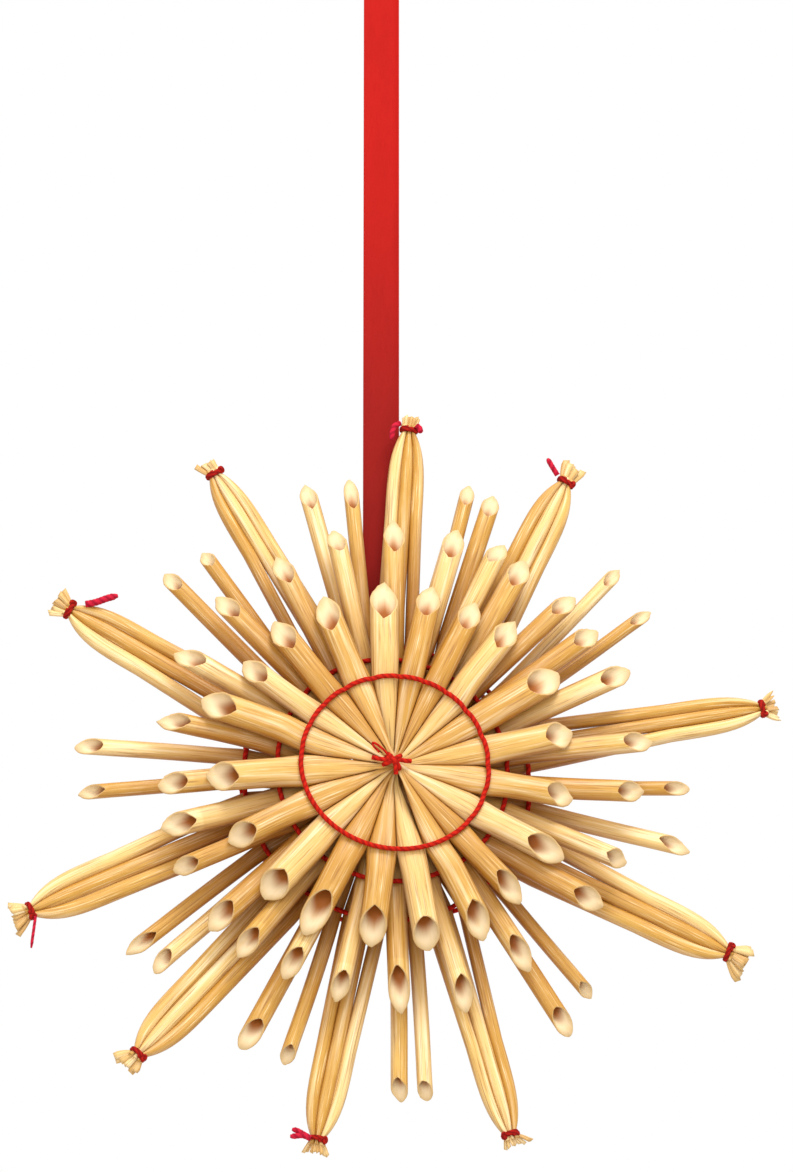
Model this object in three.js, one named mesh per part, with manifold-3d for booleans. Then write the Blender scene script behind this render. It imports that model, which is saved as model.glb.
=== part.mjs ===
/**
 * Straw star on a ribbon loop.
 *
 * Three sheaves of drinking-straw-thick wheat straws, pinched flat where they cross, are
 * spread into discs by a thread ring each and stacked front to back. The back sheaf has
 * five ends to every tenth of a turn: three are drawn together by a red thread tie and two
 * stay free. All free ends are cut slantwise and open. A ribbon loop hangs from the rear
 * thread.
 *
 * Millimetres, +Z up, the face of the star looks along -Y. The origin is at the top of the
 * ribbon loop, where a hook holds it. Every straw is drawn in star coordinates (x right,
 * z up, depth along +Y, zero on the star's axis), and the whole star is then moved down.
 */
import Module from 'manifold-3d';
import * as THREE from 'three';
import { mergeVertices } from 'three/addons/utils/BufferGeometryUtils.js';

// ---------------------------------------------------------------- driving dimensions
const TURN = 360;

// The star below the hook.
const STAR_DROP = 160; // hook to the star's axis
const STAR_SHIFT = 0.35; // axis to the right of the hook
const RIBBON_DEPTH = 8.5; // middle of the two ribbon strands behind the star's middle

// Straws, pinched flat where they cross on the axis.
const WAIST_THICKNESS = 0.2;
const STACK_PITCH = 0.3; // from one crossing straw to the next
const NEIGHBOUR_GAP = 0.12; // between two straws side by side
const WALL = 0.42; // straw wall seen at the open ends
const POCKET_DEPTH = 6; // how far an open end is hollow
const THREAD = 0.85; // diameter of the red thread
const THREAD_GAP = 0.25; // thread to straw

/**
 * Ends are numbered anticlockwise from +X, in degrees. `seat` is where an end crosses its
 * thread ring, `tip` where it ends, `reach` how far out, `width` how wide it is there.
 * `slant` is how far the cut runs back from the tip, and `skew` how far it is turned
 * sideways, in degrees. `sides` is the number of corners of a cross section.
 */
const FRONT = {
  name: 'front_straw',
  sides: 8,
  ring: 16.3,
  depth: -6,
  waist: 3.3,
  thickness: 3.8,
  ringThickness: 2.6,
  firstInStack: 6,
  seat: [
    12.5, 31.3, 49.8, 64.4, 79.3, 95.2, 113.2, 132, 148, 163.5,
    186.5, 206.9, 225.5, 243.1, 262.4, 281, 298.8, 313, 331, 352,
  ],
  tip: [
    14, 32.5, 51.7, 64.6, 78.5, 92.7, 112.5, 130, 146, 163,
    186.6, 207.8, 227.3, 243.6, 262.7, 280.5, 297.5, 313, 332, 352.1,
  ],
  reach: [
    33.2, 35.4, 35.9, 34.9, 35, 34.8, 33.8, 34, 32.4, 35.9,
    33.2, 32.5, 33.8, 35, 33.3, 34, 34.8, 33, 34.1, 32.4,
  ],
  width: [5, 5.5, 4.5, 4.2, 4.4, 5, 4.6, 4.5, 4, 5, 5.2, 4.6, 5.4, 4.9, 4.9, 4.9, 4.5, 4.1, 4.6, 4.4],
  slant: [6, 7.6, 7.3, 6.8, 7.1, 8.2, 7.4, 7, 5.7, 6.6, 5.5, 4.8, 5.6, 8.5, 6.8, 5.8, 6.8, 7, 7.5, 5.4],
  skew: [-5, -2, -6, -2, 5, 3, 20, 14, 16, 8, 12, 5, -3, 1, -5, -2, 6, -15, 14, 1],
};

const SECOND = {
  name: 'second_straw',
  sides: 8,
  ring: 20.5,
  depth: -2,
  stackDepth: -2.4,
  waist: 4,
  thickness: 3.2,
  ringThickness: 2.4,
  firstInStack: 0,
  tip: [
    10, 26.3, 37.7, 46.6, 59.5, 65.7, 75.5, 89.4, 102.7, 117.2, 134.5, 151.2, 169.1,
    185.8, 196.3, 207.3, 222.7, 232, 243.9, 257.5, 272.3, 287.5, 305, 328.7, 340.6, 358.3,
  ],
  reach: [
    47.9, 48.3, 47.3, 48.3, 48.2, 48.9, 48.2, 48, 46.5, 44.8, 44.5, 43.7, 42.1,
    41.3, 42.2, 42.9, 43.7, 43.8, 42.6, 43.1, 43.9, 45.2, 43.1, 44.1, 44.6, 45.4,
  ],
  width: [
    3.8, 4, 4, 3.6, 4.1, 3.7, 4, 3.9, 3.5, 3.8, 3.8, 3.9, 3.5,
    3.9, 4.2, 3.4, 4.1, 3.8, 3.6, 3.4, 3.8, 3.7, 3.9, 4.1, 3.5, 3.8,
  ],
  slant: [
    6.2, 6.8, 6.3, 6.3, 6.7, 5.5, 6.7, 7.3, 5, 6.3, 6, 5.9, 5.9,
    5.2, 6.2, 4.4, 6, 5.8, 5.9, 5.4, 8.4, 6.5, 7.2, 5.9, 4.2, 5.2,
  ],
  skew: [1, -5, 1, 6, -3, 14, 1, 1, 1, 7, 5, -9, -7, 1, 8, 11, -9, -6, 1, 1, -10, 6, 1, -11, -9, -14],
};

const BACK = {
  sides: 6,
  ring: 25.5,
  depth: 4.5,
  stackDepth: 3.45,
  waist: 6.5,
  thickness: 2.4,
  ringThickness: 2.2,
  baseHeading: [18.7, 55.1, 86.1, 115.1, 154.4, 197.7, 232.1, 261.2, 294.7, 334.1],
  tieHeading: [14.3, 60.9, 86.5, 118.6, 152.3, 202.7, 229.8, 259.6, 289.1, 334.9],
  tieReach: [70.1, 67.2, 67.4, 64.9, 64, 67.9, 67.3, 66.6, 67, 67.4],
  tiedWidth: 2.35,
  tip: [
    36.2, 45.1, 70.6, 75.2, 96.5, 104.6, 128.2, 136.6, 175.3, 184.3,
    216.3, 221.1, 243.2, 251.1, 272.3, 276.9, 306.2, 314.1, 350.1, 1.8,
  ],
  reach: [
    59.6, 60.4, 59.3, 59.6, 58.1, 58.1, 53.6, 54.8, 55.4, 54.7,
    56.4, 54.5, 55.6, 55, 58.1, 58, 55.5, 52.6, 55.7, 54.9,
  ],
  width: [2.5, 2.6, 3.2, 2.7, 2.7, 3.1, 2.8, 3.1, 3, 2.6, 2.9, 3, 3.5, 2.7, 3, 2.7, 3.3, 2.5, 3.1, 2.6],
  slant: [5.3, 5.1, 5.2, 4.7, 6.5, 5.5, 3.5, 4.3, 4.9, 4.7, 6.4, 4.6, 6, 3.5, 4.2, 3.2, 5.5, 3.4, 6.4, 5.2],
  skew: [1, -5, 1, 1, 1, 5, 8, 8, -5, 1, 10, -20, 10, 1, -22, -20, 1, -8, 10, -10],
};

// Tied bundles: three straws drawn together, then fanned out. One share of the pitch, one
// length, one spread and one lean of the fringe for each bundle.
const BUNDLE = {
  straightShare: 0.75, // share of the reach where the three straws still lie side by side
  pitch: 2.5, // side by side
  room: [0.95, 1, 0.9, 0.9, 1.12, 1.14, 1.08, 0.96, 0.9, 1.14],
  shoulder: 4, // from the tie back to where the straws start to turn in
  shoulderShare: 0.84,
  pinchPitch: 0.88, // under the tie
  pinchWidth: 0.78,
  pinchThickness: 1.5,
  fringe: [3.3, 4, 3, 3, 3.6, 4, 3.7, 3, 2.5, 4.3], // ends beyond the tie
  fringePitch: [1.9, 1.5, 1.25, 1.4, 1.8, 2, 1.8, 1.7, 1.7, 2.2],
  fringeLean: [-0.3, 0.1, -0.7, 0.7, 0.5, 1.2, -0.2, 0.6, 0.6, -0.9],
  fringeThickness: 1.2,
};

const TIE = { halfWidth: 1.78, halfDepth: 1.42, round: 0.19, halfLength: 0.62, around: 10, section: 5 };

const KNOT = { halfLength: 3.4, thread: 0.42, lump: 0.75, shift: -0.6, tilt: 4 };

const RIBBON = {
  width: 6.5,
  thickness: 0.5,
  spread: 3, // between the two strands
  bottomSpread: 2, // around the thread
  turn: 8, // the loop is turned a little about the vertical
  seam: 0.6, // between the ends, butted together behind the thread
  steps: 64,
};

const STRAW_COLOURS = [0xe3b765, 0xdcab58, 0xe8c27a, 0xd9a04c];
const THREAD_COLOUR = 0xc4281f;
const RIBBON_COLOUR = 0xa52a26;

// ---------------------------------------------------------------- small helpers
const wasm = await Module();
wasm.setup();

const radians = THREE.MathUtils.degToRad;
const wrap = (list, index) => list[((index % list.length) + list.length) % list.length];
const mix = (from, to, share) => from + (to - from) * share;

/** Point of the star's plane at a heading and radius, as x and z. */
function polar(heading, radius) {
  const angle = radians(heading);
  return new THREE.Vector2(Math.cos(angle) * radius, Math.sin(angle) * radius);
}

/** Heading in degrees of the way from one point of the plane to another. */
function headingOf(from, to) {
  return THREE.MathUtils.radToDeg(Math.atan2(to.y - from.y, to.x - from.x));
}

/** Angle in degrees from one heading to the next, anticlockwise. */
function step(from, to) {
  return (((to - from) % TURN) + TURN) % TURN;
}

/** Smaller of the two angles from an end to its neighbours, in radians. */
function tightestGap(seats, index) {
  const before = step(wrap(seats, index - 1), wrap(seats, index));
  const after = step(wrap(seats, index), wrap(seats, index + 1));
  return radians(Math.min(before, after));
}

/** Widest straw that fits between its neighbours at a radius. */
function wedgeWidth(radius, gap, limit) {
  return Math.min(limit, radius * gap - NEIGHBOUR_GAP);
}

/**
 * One cross section. `at` and `heading` place it in the star's plane; `slant` pushes the
 * rear corners further along the heading than the front ones.
 */
function section({ sides, at, heading, depth, width, thickness, slant = 0, skew = 0 }) {
  const angle = radians(heading);
  const along = new THREE.Vector3(Math.cos(angle), 0, Math.sin(angle));
  const side = new THREE.Vector3(-Math.sin(angle), 0, Math.cos(angle));
  const corners = [];
  for (let corner = 0; corner < sides; corner += 1) {
    const round = ((corner + 0.5) / sides) * 2 * Math.PI;
    const front = Math.sin(round);
    const push = -slant * 0.5 * (1 + Math.sin(round + radians(skew)));
    corners.push(
      new THREE.Vector3(at.x, depth - front * thickness * 0.5, at.y)
        .addScaledVector(side, Math.cos(round) * width * 0.5)
        .addScaledVector(along, push),
    );
  }
  return corners;
}

/** Closed body through a row of cross sections, capped flat at both ends. */
function loft(sections) {
  const sides = sections[0].length;
  const positions = sections.flat().flatMap((corner) => [corner.x, corner.y, corner.z]);
  const index = [];
  for (let row = 0; row + 1 < sections.length; row += 1) {
    for (let corner = 0; corner < sides; corner += 1) {
      const next = (corner + 1) % sides;
      const [a, b] = [row * sides + corner, row * sides + next];
      index.push(a, b, b + sides, a, b + sides, a + sides);
    }
  }
  const last = (sections.length - 1) * sides;
  for (let corner = 1; corner + 1 < sides; corner += 1) {
    index.push(0, corner + 1, corner);
    index.push(last, last + corner, last + corner + 1);
  }
  const geometry = new THREE.BufferGeometry();
  geometry.setAttribute('position', new THREE.Float32BufferAttribute(positions, 3));
  geometry.setIndex(index);
  return geometry;
}

/** three.js geometry as a manifold solid. */
function toSolid(geometry) {
  const bare = geometry.clone();
  bare.deleteAttribute('normal');
  bare.deleteAttribute('uv');
  const merged = mergeVertices(bare, 1e-5);
  const mesh = new wasm.Mesh({
    numProp: 3,
    vertProperties: Float32Array.from(merged.attributes.position.array),
    triVerts: Uint32Array.from(merged.index.array),
  });
  return new wasm.Manifold(mesh);
}

/** Two geometries joined into one closed body. */
function join(first, second) {
  const mesh = toSolid(first).add(toSolid(second)).getMesh();
  const geometry = new THREE.BufferGeometry();
  geometry.setAttribute('position', new THREE.Float32BufferAttribute(mesh.vertProperties, 3));
  geometry.setIndex(new THREE.Uint32BufferAttribute(mesh.triVerts, 1));
  return geometry;
}

const star = new THREE.Group();
star.position.set(STAR_SHIFT, -RIBBON_DEPTH, -STAR_DROP);

/** Named mesh with its own material, added to a group. */
function addMesh(group, name, geometry, color, roughness) {
  const material = new THREE.MeshStandardMaterial({ color, roughness, metalness: 0 });
  const mesh = new THREE.Mesh(geometry, material);
  mesh.name = name;
  group.add(mesh);
  return mesh;
}

function addStraw(name, geometry, index) {
  return addMesh(star, name, geometry, STRAW_COLOURS[index % STRAW_COLOURS.length], 0.55);
}

function addThread(name, geometry) {
  return addMesh(star, name, geometry, THREAD_COLOUR, 0.8);
}

const numbered = (name, index) => `${name}_${String(index + 1).padStart(2, '0')}`;

// ---------------------------------------------------------------- straws
/**
 * Half of a straw, from its waist outwards, as descriptions of cross sections.
 * Within the ring it is a wedge between its neighbours.
 */
function wedgeHalf(layer, seat, gap, stackDepth, waistThickness = WAIST_THICKNESS) {
  const { sides } = layer;
  return [
    {
      sides,
      at: polar(seat, layer.waist),
      heading: seat,
      depth: stackDepth,
      width: wedgeWidth(layer.waist, gap, layer.width),
      thickness: waistThickness,
    },
    {
      sides,
      at: polar(seat, layer.ring),
      heading: seat,
      depth: layer.depth,
      width: wedgeWidth(layer.ring, gap, layer.width),
      thickness: layer.ringThickness,
    },
  ];
}

/** One end of a sheaf: the sheaf's own sizes with the lists read off for that end. */
function endOf(layer, index) {
  const { tip, reach, width, slant, skew } = layer;
  return {
    ...layer,
    tip: wrap(tip, index),
    reach: wrap(reach, index),
    width: wrap(width, index),
    slant: wrap(slant, index),
    skew: wrap(skew, index),
  };
}

/** Open, slantwise cut end with a hollow in it. */
function openEnd(end, from) {
  const { sides, depth, width, thickness, slant, skew } = end;
  const at = polar(end.tip, end.reach);
  const heading = headingOf(from, at);
  const outer = { sides, at, heading, depth, width, thickness, slant, skew };
  const inner = { ...outer, width: width - 2 * WALL, thickness: thickness - 2 * WALL };
  const floor = { ...inner, at: at.clone().sub(polar(heading, slant + POCKET_DEPTH)), slant: 0 };
  return [outer, inner, floor];
}

/** Cross sections of the half that is drawn inwards: turned to face the way of travel. */
function inwards(half) {
  return half
    .map((item) => ({ ...item, heading: item.heading + TURN / 2, slant: -(item.slant ?? 0), skew: -(item.skew ?? 0) }))
    .reverse();
}

/** One straw right through the axis, from two halves. */
function throughStraw(outwardHalf, inwardHalf) {
  return loft([...inwards(inwardHalf), ...outwardHalf].map(section));
}

/** Depth of a straw's waist in the stack that crosses on the axis. */
function stackDepthOf(layer, place, count) {
  return (layer.stackDepth ?? layer.depth) + (place - (count - 1) / 2) * STACK_PITCH;
}

/** Ring crossings evened out between neighbours where they aren't given. */
function seatsOf(layer) {
  if (layer.seat) return layer.seat;
  return layer.tip.map((heading, index) => {
    const before = step(wrap(layer.tip, index - 1), heading);
    const after = step(heading, wrap(layer.tip, index + 1));
    return heading + (after - before) / 3;
  });
}

/** A sheaf whose ends are all free and open. */
function addOpenSheaf(layer) {
  const seats = seatsOf(layer);
  const straws = seats.length / 2;
  for (let straw = 0; straw < straws; straw += 1) {
    const place = (straw - layer.firstInStack + straws) % straws;
    const stackDepth = stackDepthOf(layer, place, straws);
    const [outward, inward] = [straw, straw + straws].map((index) => {
      const end = endOf(layer, index);
      const wedge = wedgeHalf(end, seats[index], tightestGap(seats, index), stackDepth);
      return [...wedge, ...openEnd(end, wedge[1].at)];
    });
    addStraw(numbered(layer.name, straw), throughStraw(outward, inward), straw);
  }
}

// ---------------------------------------------------------------- back sheaf
const GROUPS = BACK.baseHeading.length;
const PER_GROUP = 5; // middle tied, next tied, two free, first tied of the next group
const BACK_STRAWS = (GROUPS * PER_GROUP) / 2;

/** Ring crossings: evenly spread between one tied bundle and the next. */
const backSeats = Array.from({ length: GROUPS * PER_GROUP }, (_, end) => {
  const group = Math.floor(end / PER_GROUP);
  const from = BACK.baseHeading[group];
  return from + (step(from, wrap(BACK.baseHeading, group + 1)) * (end % PER_GROUP)) / PER_GROUP;
});

function backWedge(layer, end, stackDepth, waistThickness) {
  return wedgeHalf(layer, backSeats[end], tightestGap(backSeats, end), stackDepth, waistThickness);
}

/** Half of a tied straw: side by side with its bundle, pinched by the tie, then a fringe. */
function tiedHalf(end, stackDepth) {
  const place = end % PER_GROUP; // 0 middle, 1 after it, 4 before the next one
  const bundle = (Math.floor(end / PER_GROUP) + (place === PER_GROUP - 1 ? 1 : 0)) % GROUPS;
  const sideways = place === PER_GROUP - 1 ? -1 : place;
  const heading = BACK.tieHeading[bundle];
  const reach = BACK.tieReach[bundle];
  const room = BUNDLE.room[bundle];
  const straight = reach * BUNDLE.straightShare;
  const across = polar(heading + 90, 1);
  const at = (radius, offset) => polar(heading, radius).addScaledVector(across, offset);
  const pitch = BUNDLE.pitch * room;
  const width = BACK.tiedWidth * room;
  // Where the bundle lies straight it still heads from its seats on the ring to the tie.
  const base = polar(BACK.baseHeading[bundle], BACK.ring);
  const share = (straight - BACK.ring) / (reach - BACK.ring);
  const middle = base.clone().lerp(polar(heading, reach), share);
  const common = { sides: BACK.sides, heading, depth: BACK.depth };
  return [
    ...backWedge({ ...BACK, width }, end, stackDepth),
    {
      ...common,
      at: middle.addScaledVector(across, sideways * pitch),
      width,
      thickness: BACK.thickness,
    },
    {
      ...common,
      at: at(reach - BUNDLE.shoulder, sideways * pitch * BUNDLE.shoulderShare),
      width: width * BUNDLE.shoulderShare,
      thickness: BACK.thickness,
    },
    {
      ...common,
      at: at(reach, sideways * BUNDLE.pinchPitch),
      width: BUNDLE.pinchWidth,
      thickness: BUNDLE.pinchThickness,
    },
    {
      ...common,
      at: at(reach + BUNDLE.fringe[bundle], BUNDLE.fringeLean[bundle] + sideways * BUNDLE.fringePitch[bundle]),
      width: BUNDLE.fringePitch[bundle] - NEIGHBOUR_GAP,
      thickness: BUNDLE.fringeThickness,
    },
  ];
}

/** Half of a free straw of the back sheaf. */
function freeHalf(end, stackDepth) {
  const layer = endOf(BACK, Math.floor(end / PER_GROUP) * 2 + (end % PER_GROUP) - 2);
  const wedge = backWedge(layer, end, stackDepth, WAIST_THICKNESS * 1.2);
  return [...wedge, ...openEnd(layer, wedge[1].at)];
}

/** Two free straws side by side, joined where they are pressed together on the axis. */
function addFreePair(group) {
  const bodies = [0, 1].map((second) => {
    const end = group * PER_GROUP + 2 + second;
    const closer = (second ? -1 : 1) * STACK_PITCH * 0.15;
    const stackDepth = stackDepthOf(BACK, end, BACK_STRAWS) + closer;
    return throughStraw(freeHalf(end, stackDepth), freeHalf(end + BACK_STRAWS, stackDepth));
  });
  addStraw(`free_straw_pair_${group + 1}`, join(...bodies), group + 1);
}

function addBackSheaf() {
  let tied = 0;
  for (let end = 0; end < BACK_STRAWS; end += 1) {
    const place = end % PER_GROUP;
    if (place === 2) addFreePair(Math.floor(end / PER_GROUP));
    if (place === 2 || place === 3) continue;
    const stackDepth = stackDepthOf(BACK, end, BACK_STRAWS);
    const body = throughStraw(tiedHalf(end, stackDepth), tiedHalf(end + BACK_STRAWS, stackDepth));
    addStraw(numbered('tied_straw', tied), body, tied);
    tied += 1;
  }
}

// ---------------------------------------------------------------- thread
/** Thread ring around the star's axis, a little oval. */
function threadRing(radius, depth, oval = 1) {
  const geometry = new THREE.TorusGeometry(radius, THREAD / 2, 5, 32);
  geometry.rotateX(Math.PI / 2);
  geometry.scale(oval, 1, 1 / oval);
  geometry.translate(0, depth, 0);
  return geometry;
}

/** Depth of a thread that lies on the front (-1) or the rear (+1) of a layer at its ring. */
function threadDepth(layer, side) {
  return layer.depth + side * (layer.ringThickness / 2 + THREAD_GAP + THREAD / 2);
}

/** Oval tie around the three straws of a bundle. */
function addTie(index) {
  const heading = BACK.tieHeading[index];
  const at = polar(heading, BACK.tieReach[index]);
  const geometry = new THREE.TorusGeometry(1, TIE.round, TIE.section, TIE.around);
  geometry.scale(TIE.halfWidth, TIE.halfDepth, TIE.halfLength / TIE.round);
  geometry.rotateY(Math.PI / 2 - radians(heading));
  geometry.translate(at.x, BACK.depth, at.y);
  addThread(numbered('bundle_tie', index), geometry);
}

/** Knot and the two short lengths of thread beside it, over the crossing. */
function centreKnot() {
  const { halfLength, thread, lump } = KNOT;
  const profile = [
    [0, -halfLength],
    [thread * 0.8, -halfLength * 0.92],
    [thread, -lump * 1.6],
    [lump, 0],
    [thread, lump * 1.6],
    [thread * 0.8, halfLength * 0.92],
    [0, halfLength],
  ].map(([radius, along]) => new THREE.Vector2(radius, along));
  const geometry = new THREE.LatheGeometry(profile, 8);
  geometry.rotateZ(Math.PI / 2 + radians(KNOT.tilt));
  const stackFront = stackDepthOf(FRONT, -0.5, FRONT.seat.length / 2);
  geometry.translate(KNOT.shift, stackFront - lump - THREAD_GAP / 2, 0);
  return geometry;
}

function addThreads() {
  addThread('centre_knot', centreKnot());
  addThread('front_thread_ring', threadRing(FRONT.ring, threadDepth(FRONT, -1), 1.02));
  addThread('second_thread_ring', threadRing(SECOND.ring, threadDepth(SECOND, -1)));
  addThread('back_thread_ring', threadRing(BACK.ring, threadDepth(BACK, -1)));
  addThread('rear_thread_ring', threadRing(BACK.ring, rearThreadDepth()));
  for (let index = 0; index < GROUPS; index += 1) addTie(index);
}

/** The rear thread stands off far enough for the ribbon to pass in front of it. */
function rearThreadDepth() {
  return threadDepth(BACK, 1) + RIBBON.thickness + 3 * THREAD_GAP;
}

// ---------------------------------------------------------------- ribbon
/** Centreline of the loop: how far back, and up. It hooks round the rear thread. */
function ribbonRoute() {
  const half = RIBBON.spread / 2;
  const top = -RIBBON.thickness / 2;
  const thread = BACK.ring - STAR_DROP;
  const hook = rearThreadDepth() - RIBBON_DEPTH;
  const low = RIBBON.bottomSpread / 2;
  return [
    [hook + low, thread + RIBBON.seam],
    [mix(hook + low, half, 0.5), thread + 5],
    [half, thread + 14],
    [half, mix(thread, top, 0.5)],
    [half, top - 6],
    [half * 0.7, top - 0.8],
    [0, top],
    [-half * 0.7, top - 0.8],
    [-half, top - 6],
    [-half, mix(thread, top, 0.5)],
    [-half, thread + 14],
    [mix(hook - low, -half, 0.5), thread + 5],
    [hook - low, thread],
    [hook - low * 0.7, thread - low * 0.75],
    [hook, thread - low * 1.05],
    [hook + low * 0.7, thread - low * 0.75],
    [hook + low, thread - RIBBON.seam * 0.3],
  ];
}

function ribbonSection() {
  const [across, thick] = [RIBBON.width / 2, RIBBON.thickness / 2];
  const shape = new THREE.Shape();
  shape.moveTo(across, thick * 0.4);
  shape.lineTo(across * 0.97, thick);
  shape.lineTo(-across * 0.97, thick);
  shape.lineTo(-across, thick * 0.4);
  shape.lineTo(-across, -thick * 0.4);
  shape.lineTo(-across * 0.97, -thick);
  shape.lineTo(across * 0.97, -thick);
  shape.lineTo(across, -thick * 0.4);
  shape.closePath();
  return shape;
}

function addRibbon(group) {
  const route = ribbonRoute().map(([back, up]) => new THREE.Vector3(0, back, up));
  const path = new THREE.CatmullRomCurve3(route, false, 'centripetal');
  const geometry = new THREE.ExtrudeGeometry(ribbonSection(), {
    steps: RIBBON.steps,
    bevelEnabled: false,
    extrudePath: path,
  });
  geometry.rotateZ(-radians(RIBBON.turn));
  addMesh(group, 'ribbon_loop', geometry, RIBBON_COLOUR, 0.45);
}

// ---------------------------------------------------------------- the ornament
const ornament = new THREE.Group();
addOpenSheaf(FRONT);
addOpenSheaf(SECOND);
addBackSheaf();
addThreads();
ornament.add(star);
addRibbon(ornament);

export default ornament;
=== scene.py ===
"""Looks of a layered straw star on a ribbon loop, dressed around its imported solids.

Three sheaves of flattened straws cross on the star's axis and are spread by red threads.
The outer straws of the rear sheaf are drawn together in threes by short red ties, all
other ends are cut slantwise and open, and the star hangs from a flat satin ribbon.

Sizes are written in millimetres in star coordinates: x to the right, z up, depth along +Y
and zero on the axis of the star. `Placement` turns them into metres in the row's frame.
"""

from __future__ import annotations

import logging
import math
import random
from dataclasses import dataclass, field
from enum import Enum
from typing import Any, Callable, Iterable, Mapping, Sequence

import bpy
import numpy as np
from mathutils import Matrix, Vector


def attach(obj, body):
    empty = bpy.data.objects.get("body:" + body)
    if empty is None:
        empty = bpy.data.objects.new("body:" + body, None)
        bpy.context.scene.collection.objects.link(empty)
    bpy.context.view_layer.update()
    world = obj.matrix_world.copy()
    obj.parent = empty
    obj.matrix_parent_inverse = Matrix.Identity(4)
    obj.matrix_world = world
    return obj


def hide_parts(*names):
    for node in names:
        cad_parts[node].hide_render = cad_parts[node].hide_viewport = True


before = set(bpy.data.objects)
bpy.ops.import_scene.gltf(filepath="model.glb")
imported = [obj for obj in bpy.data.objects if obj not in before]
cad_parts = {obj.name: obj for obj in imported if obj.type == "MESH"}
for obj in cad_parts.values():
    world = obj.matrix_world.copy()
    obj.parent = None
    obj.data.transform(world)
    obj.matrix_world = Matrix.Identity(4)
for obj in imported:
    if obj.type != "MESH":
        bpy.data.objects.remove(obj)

LOG = logging.getLogger("straw_star")
MM = 0.001
TURN = 360.0

Colour = tuple[float, float, float, float]
Array = np.ndarray
Gaps = tuple[float, float]
Settings = Mapping[str, Any]
Inputs = Mapping[Any, Any]


# ------------------------------------------------------------------ small helpers
def colour(code: int) -> Colour:
    """Linear colour of a display colour.

    Args:
        code: red, green and blue as one hexadecimal number.

    Returns:
        The four numbers of a shader colour.
    """

    def linear(value: float) -> float:
        """Linear share of one display channel."""
        return value / 12.92 if value <= 0.04045 else ((value + 0.055) / 1.055) ** 2.4

    red, green, blue = ((code >> shift & 255) / 255 for shift in (16, 8, 0))
    return linear(red), linear(green), linear(blue), 1.0


def ease(value: Array | float, low: float = 0.0, high: float = 1.0) -> Array:
    """Smooth step from 0 at low to 1 at high.

    Args:
        value: what is looked up.
        low: where the step starts.
        high: where it ends.

    Returns:
        The step's height, from 0 to 1.
    """
    share = np.clip((np.asarray(value, float) - low) / (high - low), 0.0, 1.0)
    return share * share * (3.0 - 2.0 * share)


def bump(value: Array | float, centre: float, width: float) -> Array:
    """Bell of height 1 around a centre.

    Args:
        value: what is looked up.
        centre: where the bell stands.
        width: its half width.

    Returns:
        The bell's height.
    """
    return np.exp(-(((np.asarray(value, float) - centre) / width) ** 2))


def polar(heading: float, radius: Array | float) -> Array:
    """Point of the star's plane.

    Args:
        heading: degrees anticlockwise from +X.
        radius: distance from the axis.

    Returns:
        x and z.
    """
    angle = math.radians(heading)
    return np.stack([np.cos(angle) * np.asarray(radius), np.sin(angle) * np.asarray(radius)], -1)


def turn_between(start: float, end: float) -> float:
    """Degrees from one heading to the next, anticlockwise."""
    return (end - start) % TURN


def signed(angle: float) -> float:
    """The same turn between -180 and 180 degrees."""
    return (angle + TURN / 2) % TURN - TURN / 2


def around(items: Sequence[float], index: int) -> float:
    """Item of a closed row."""
    return items[index % len(items)]


def columns(count: int, *parts: Array | float) -> Array:
    """Rows of numbers to store on a ring of points.

    Args:
        count: how many points the ring has.
        parts: for each column a number, or one number for each point.

    Returns:
        An array with a row for each point.
    """
    return np.stack([np.broadcast_to(part, (count,)) for part in parts], -1)


# ------------------------------------------------------------------ shader sockets
class Value:
    """Number that varies over a surface. Arithmetic on it adds Math nodes."""

    def __init__(self, shader: Shader, socket: bpy.types.NodeSocket) -> None:
        """Wrap a socket of a shader."""
        self.shader = shader
        self.socket = socket

    def _math(self, operation: str, first: Any, second: Any, clamp: bool = False) -> Value:
        """Math node on two operands.

        Args:
            operation: the node's operation.
            first: first operand, a Value or a number.
            second: second operand, a Value or a number.
            clamp: whether the result is kept between 0 and 1.

        Returns:
            The result.
        """
        settings = {"operation": operation, "use_clamp": clamp}
        return self.shader.value("ShaderNodeMath", settings, {0: first, 1: second})

    def __add__(self, other: Any) -> Value:
        """Sum."""
        return self._math("ADD", self, other)

    def __radd__(self, other: Any) -> Value:
        """Sum, from the right."""
        return self._math("ADD", other, self)

    def __sub__(self, other: Any) -> Value:
        """Difference."""
        return self._math("SUBTRACT", self, other)

    def __rsub__(self, other: Any) -> Value:
        """Difference, from the right."""
        return self._math("SUBTRACT", other, self)

    def __mul__(self, other: Any) -> Value:
        """Product."""
        return self._math("MULTIPLY", self, other)

    def __rmul__(self, other: Any) -> Value:
        """Product, from the right."""
        return self._math("MULTIPLY", other, self)

    def __pow__(self, other: Any) -> Value:
        """Power."""
        return self._math("POWER", self, other)

    def sine(self) -> Value:
        """Sine of an angle in radians."""
        return self._math("SINE", self, 0.0)

    def clamped(self) -> Value:
        """The same, kept between 0 and 1."""
        return self._math("ADD", self, 0.0, clamp=True)

    def step(self, low: float, high: float) -> Value:
        """Smooth step.

        Args:
            low: where it starts, at 0.
            high: where it ends, at 1.

        Returns:
            The step's height.
        """
        settings = {"interpolation_type": "SMOOTHSTEP"}
        inputs = {"Value": self, "From Min": low, "From Max": high}
        return self.shader.value("ShaderNodeMapRange", settings, inputs, "Result")


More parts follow.
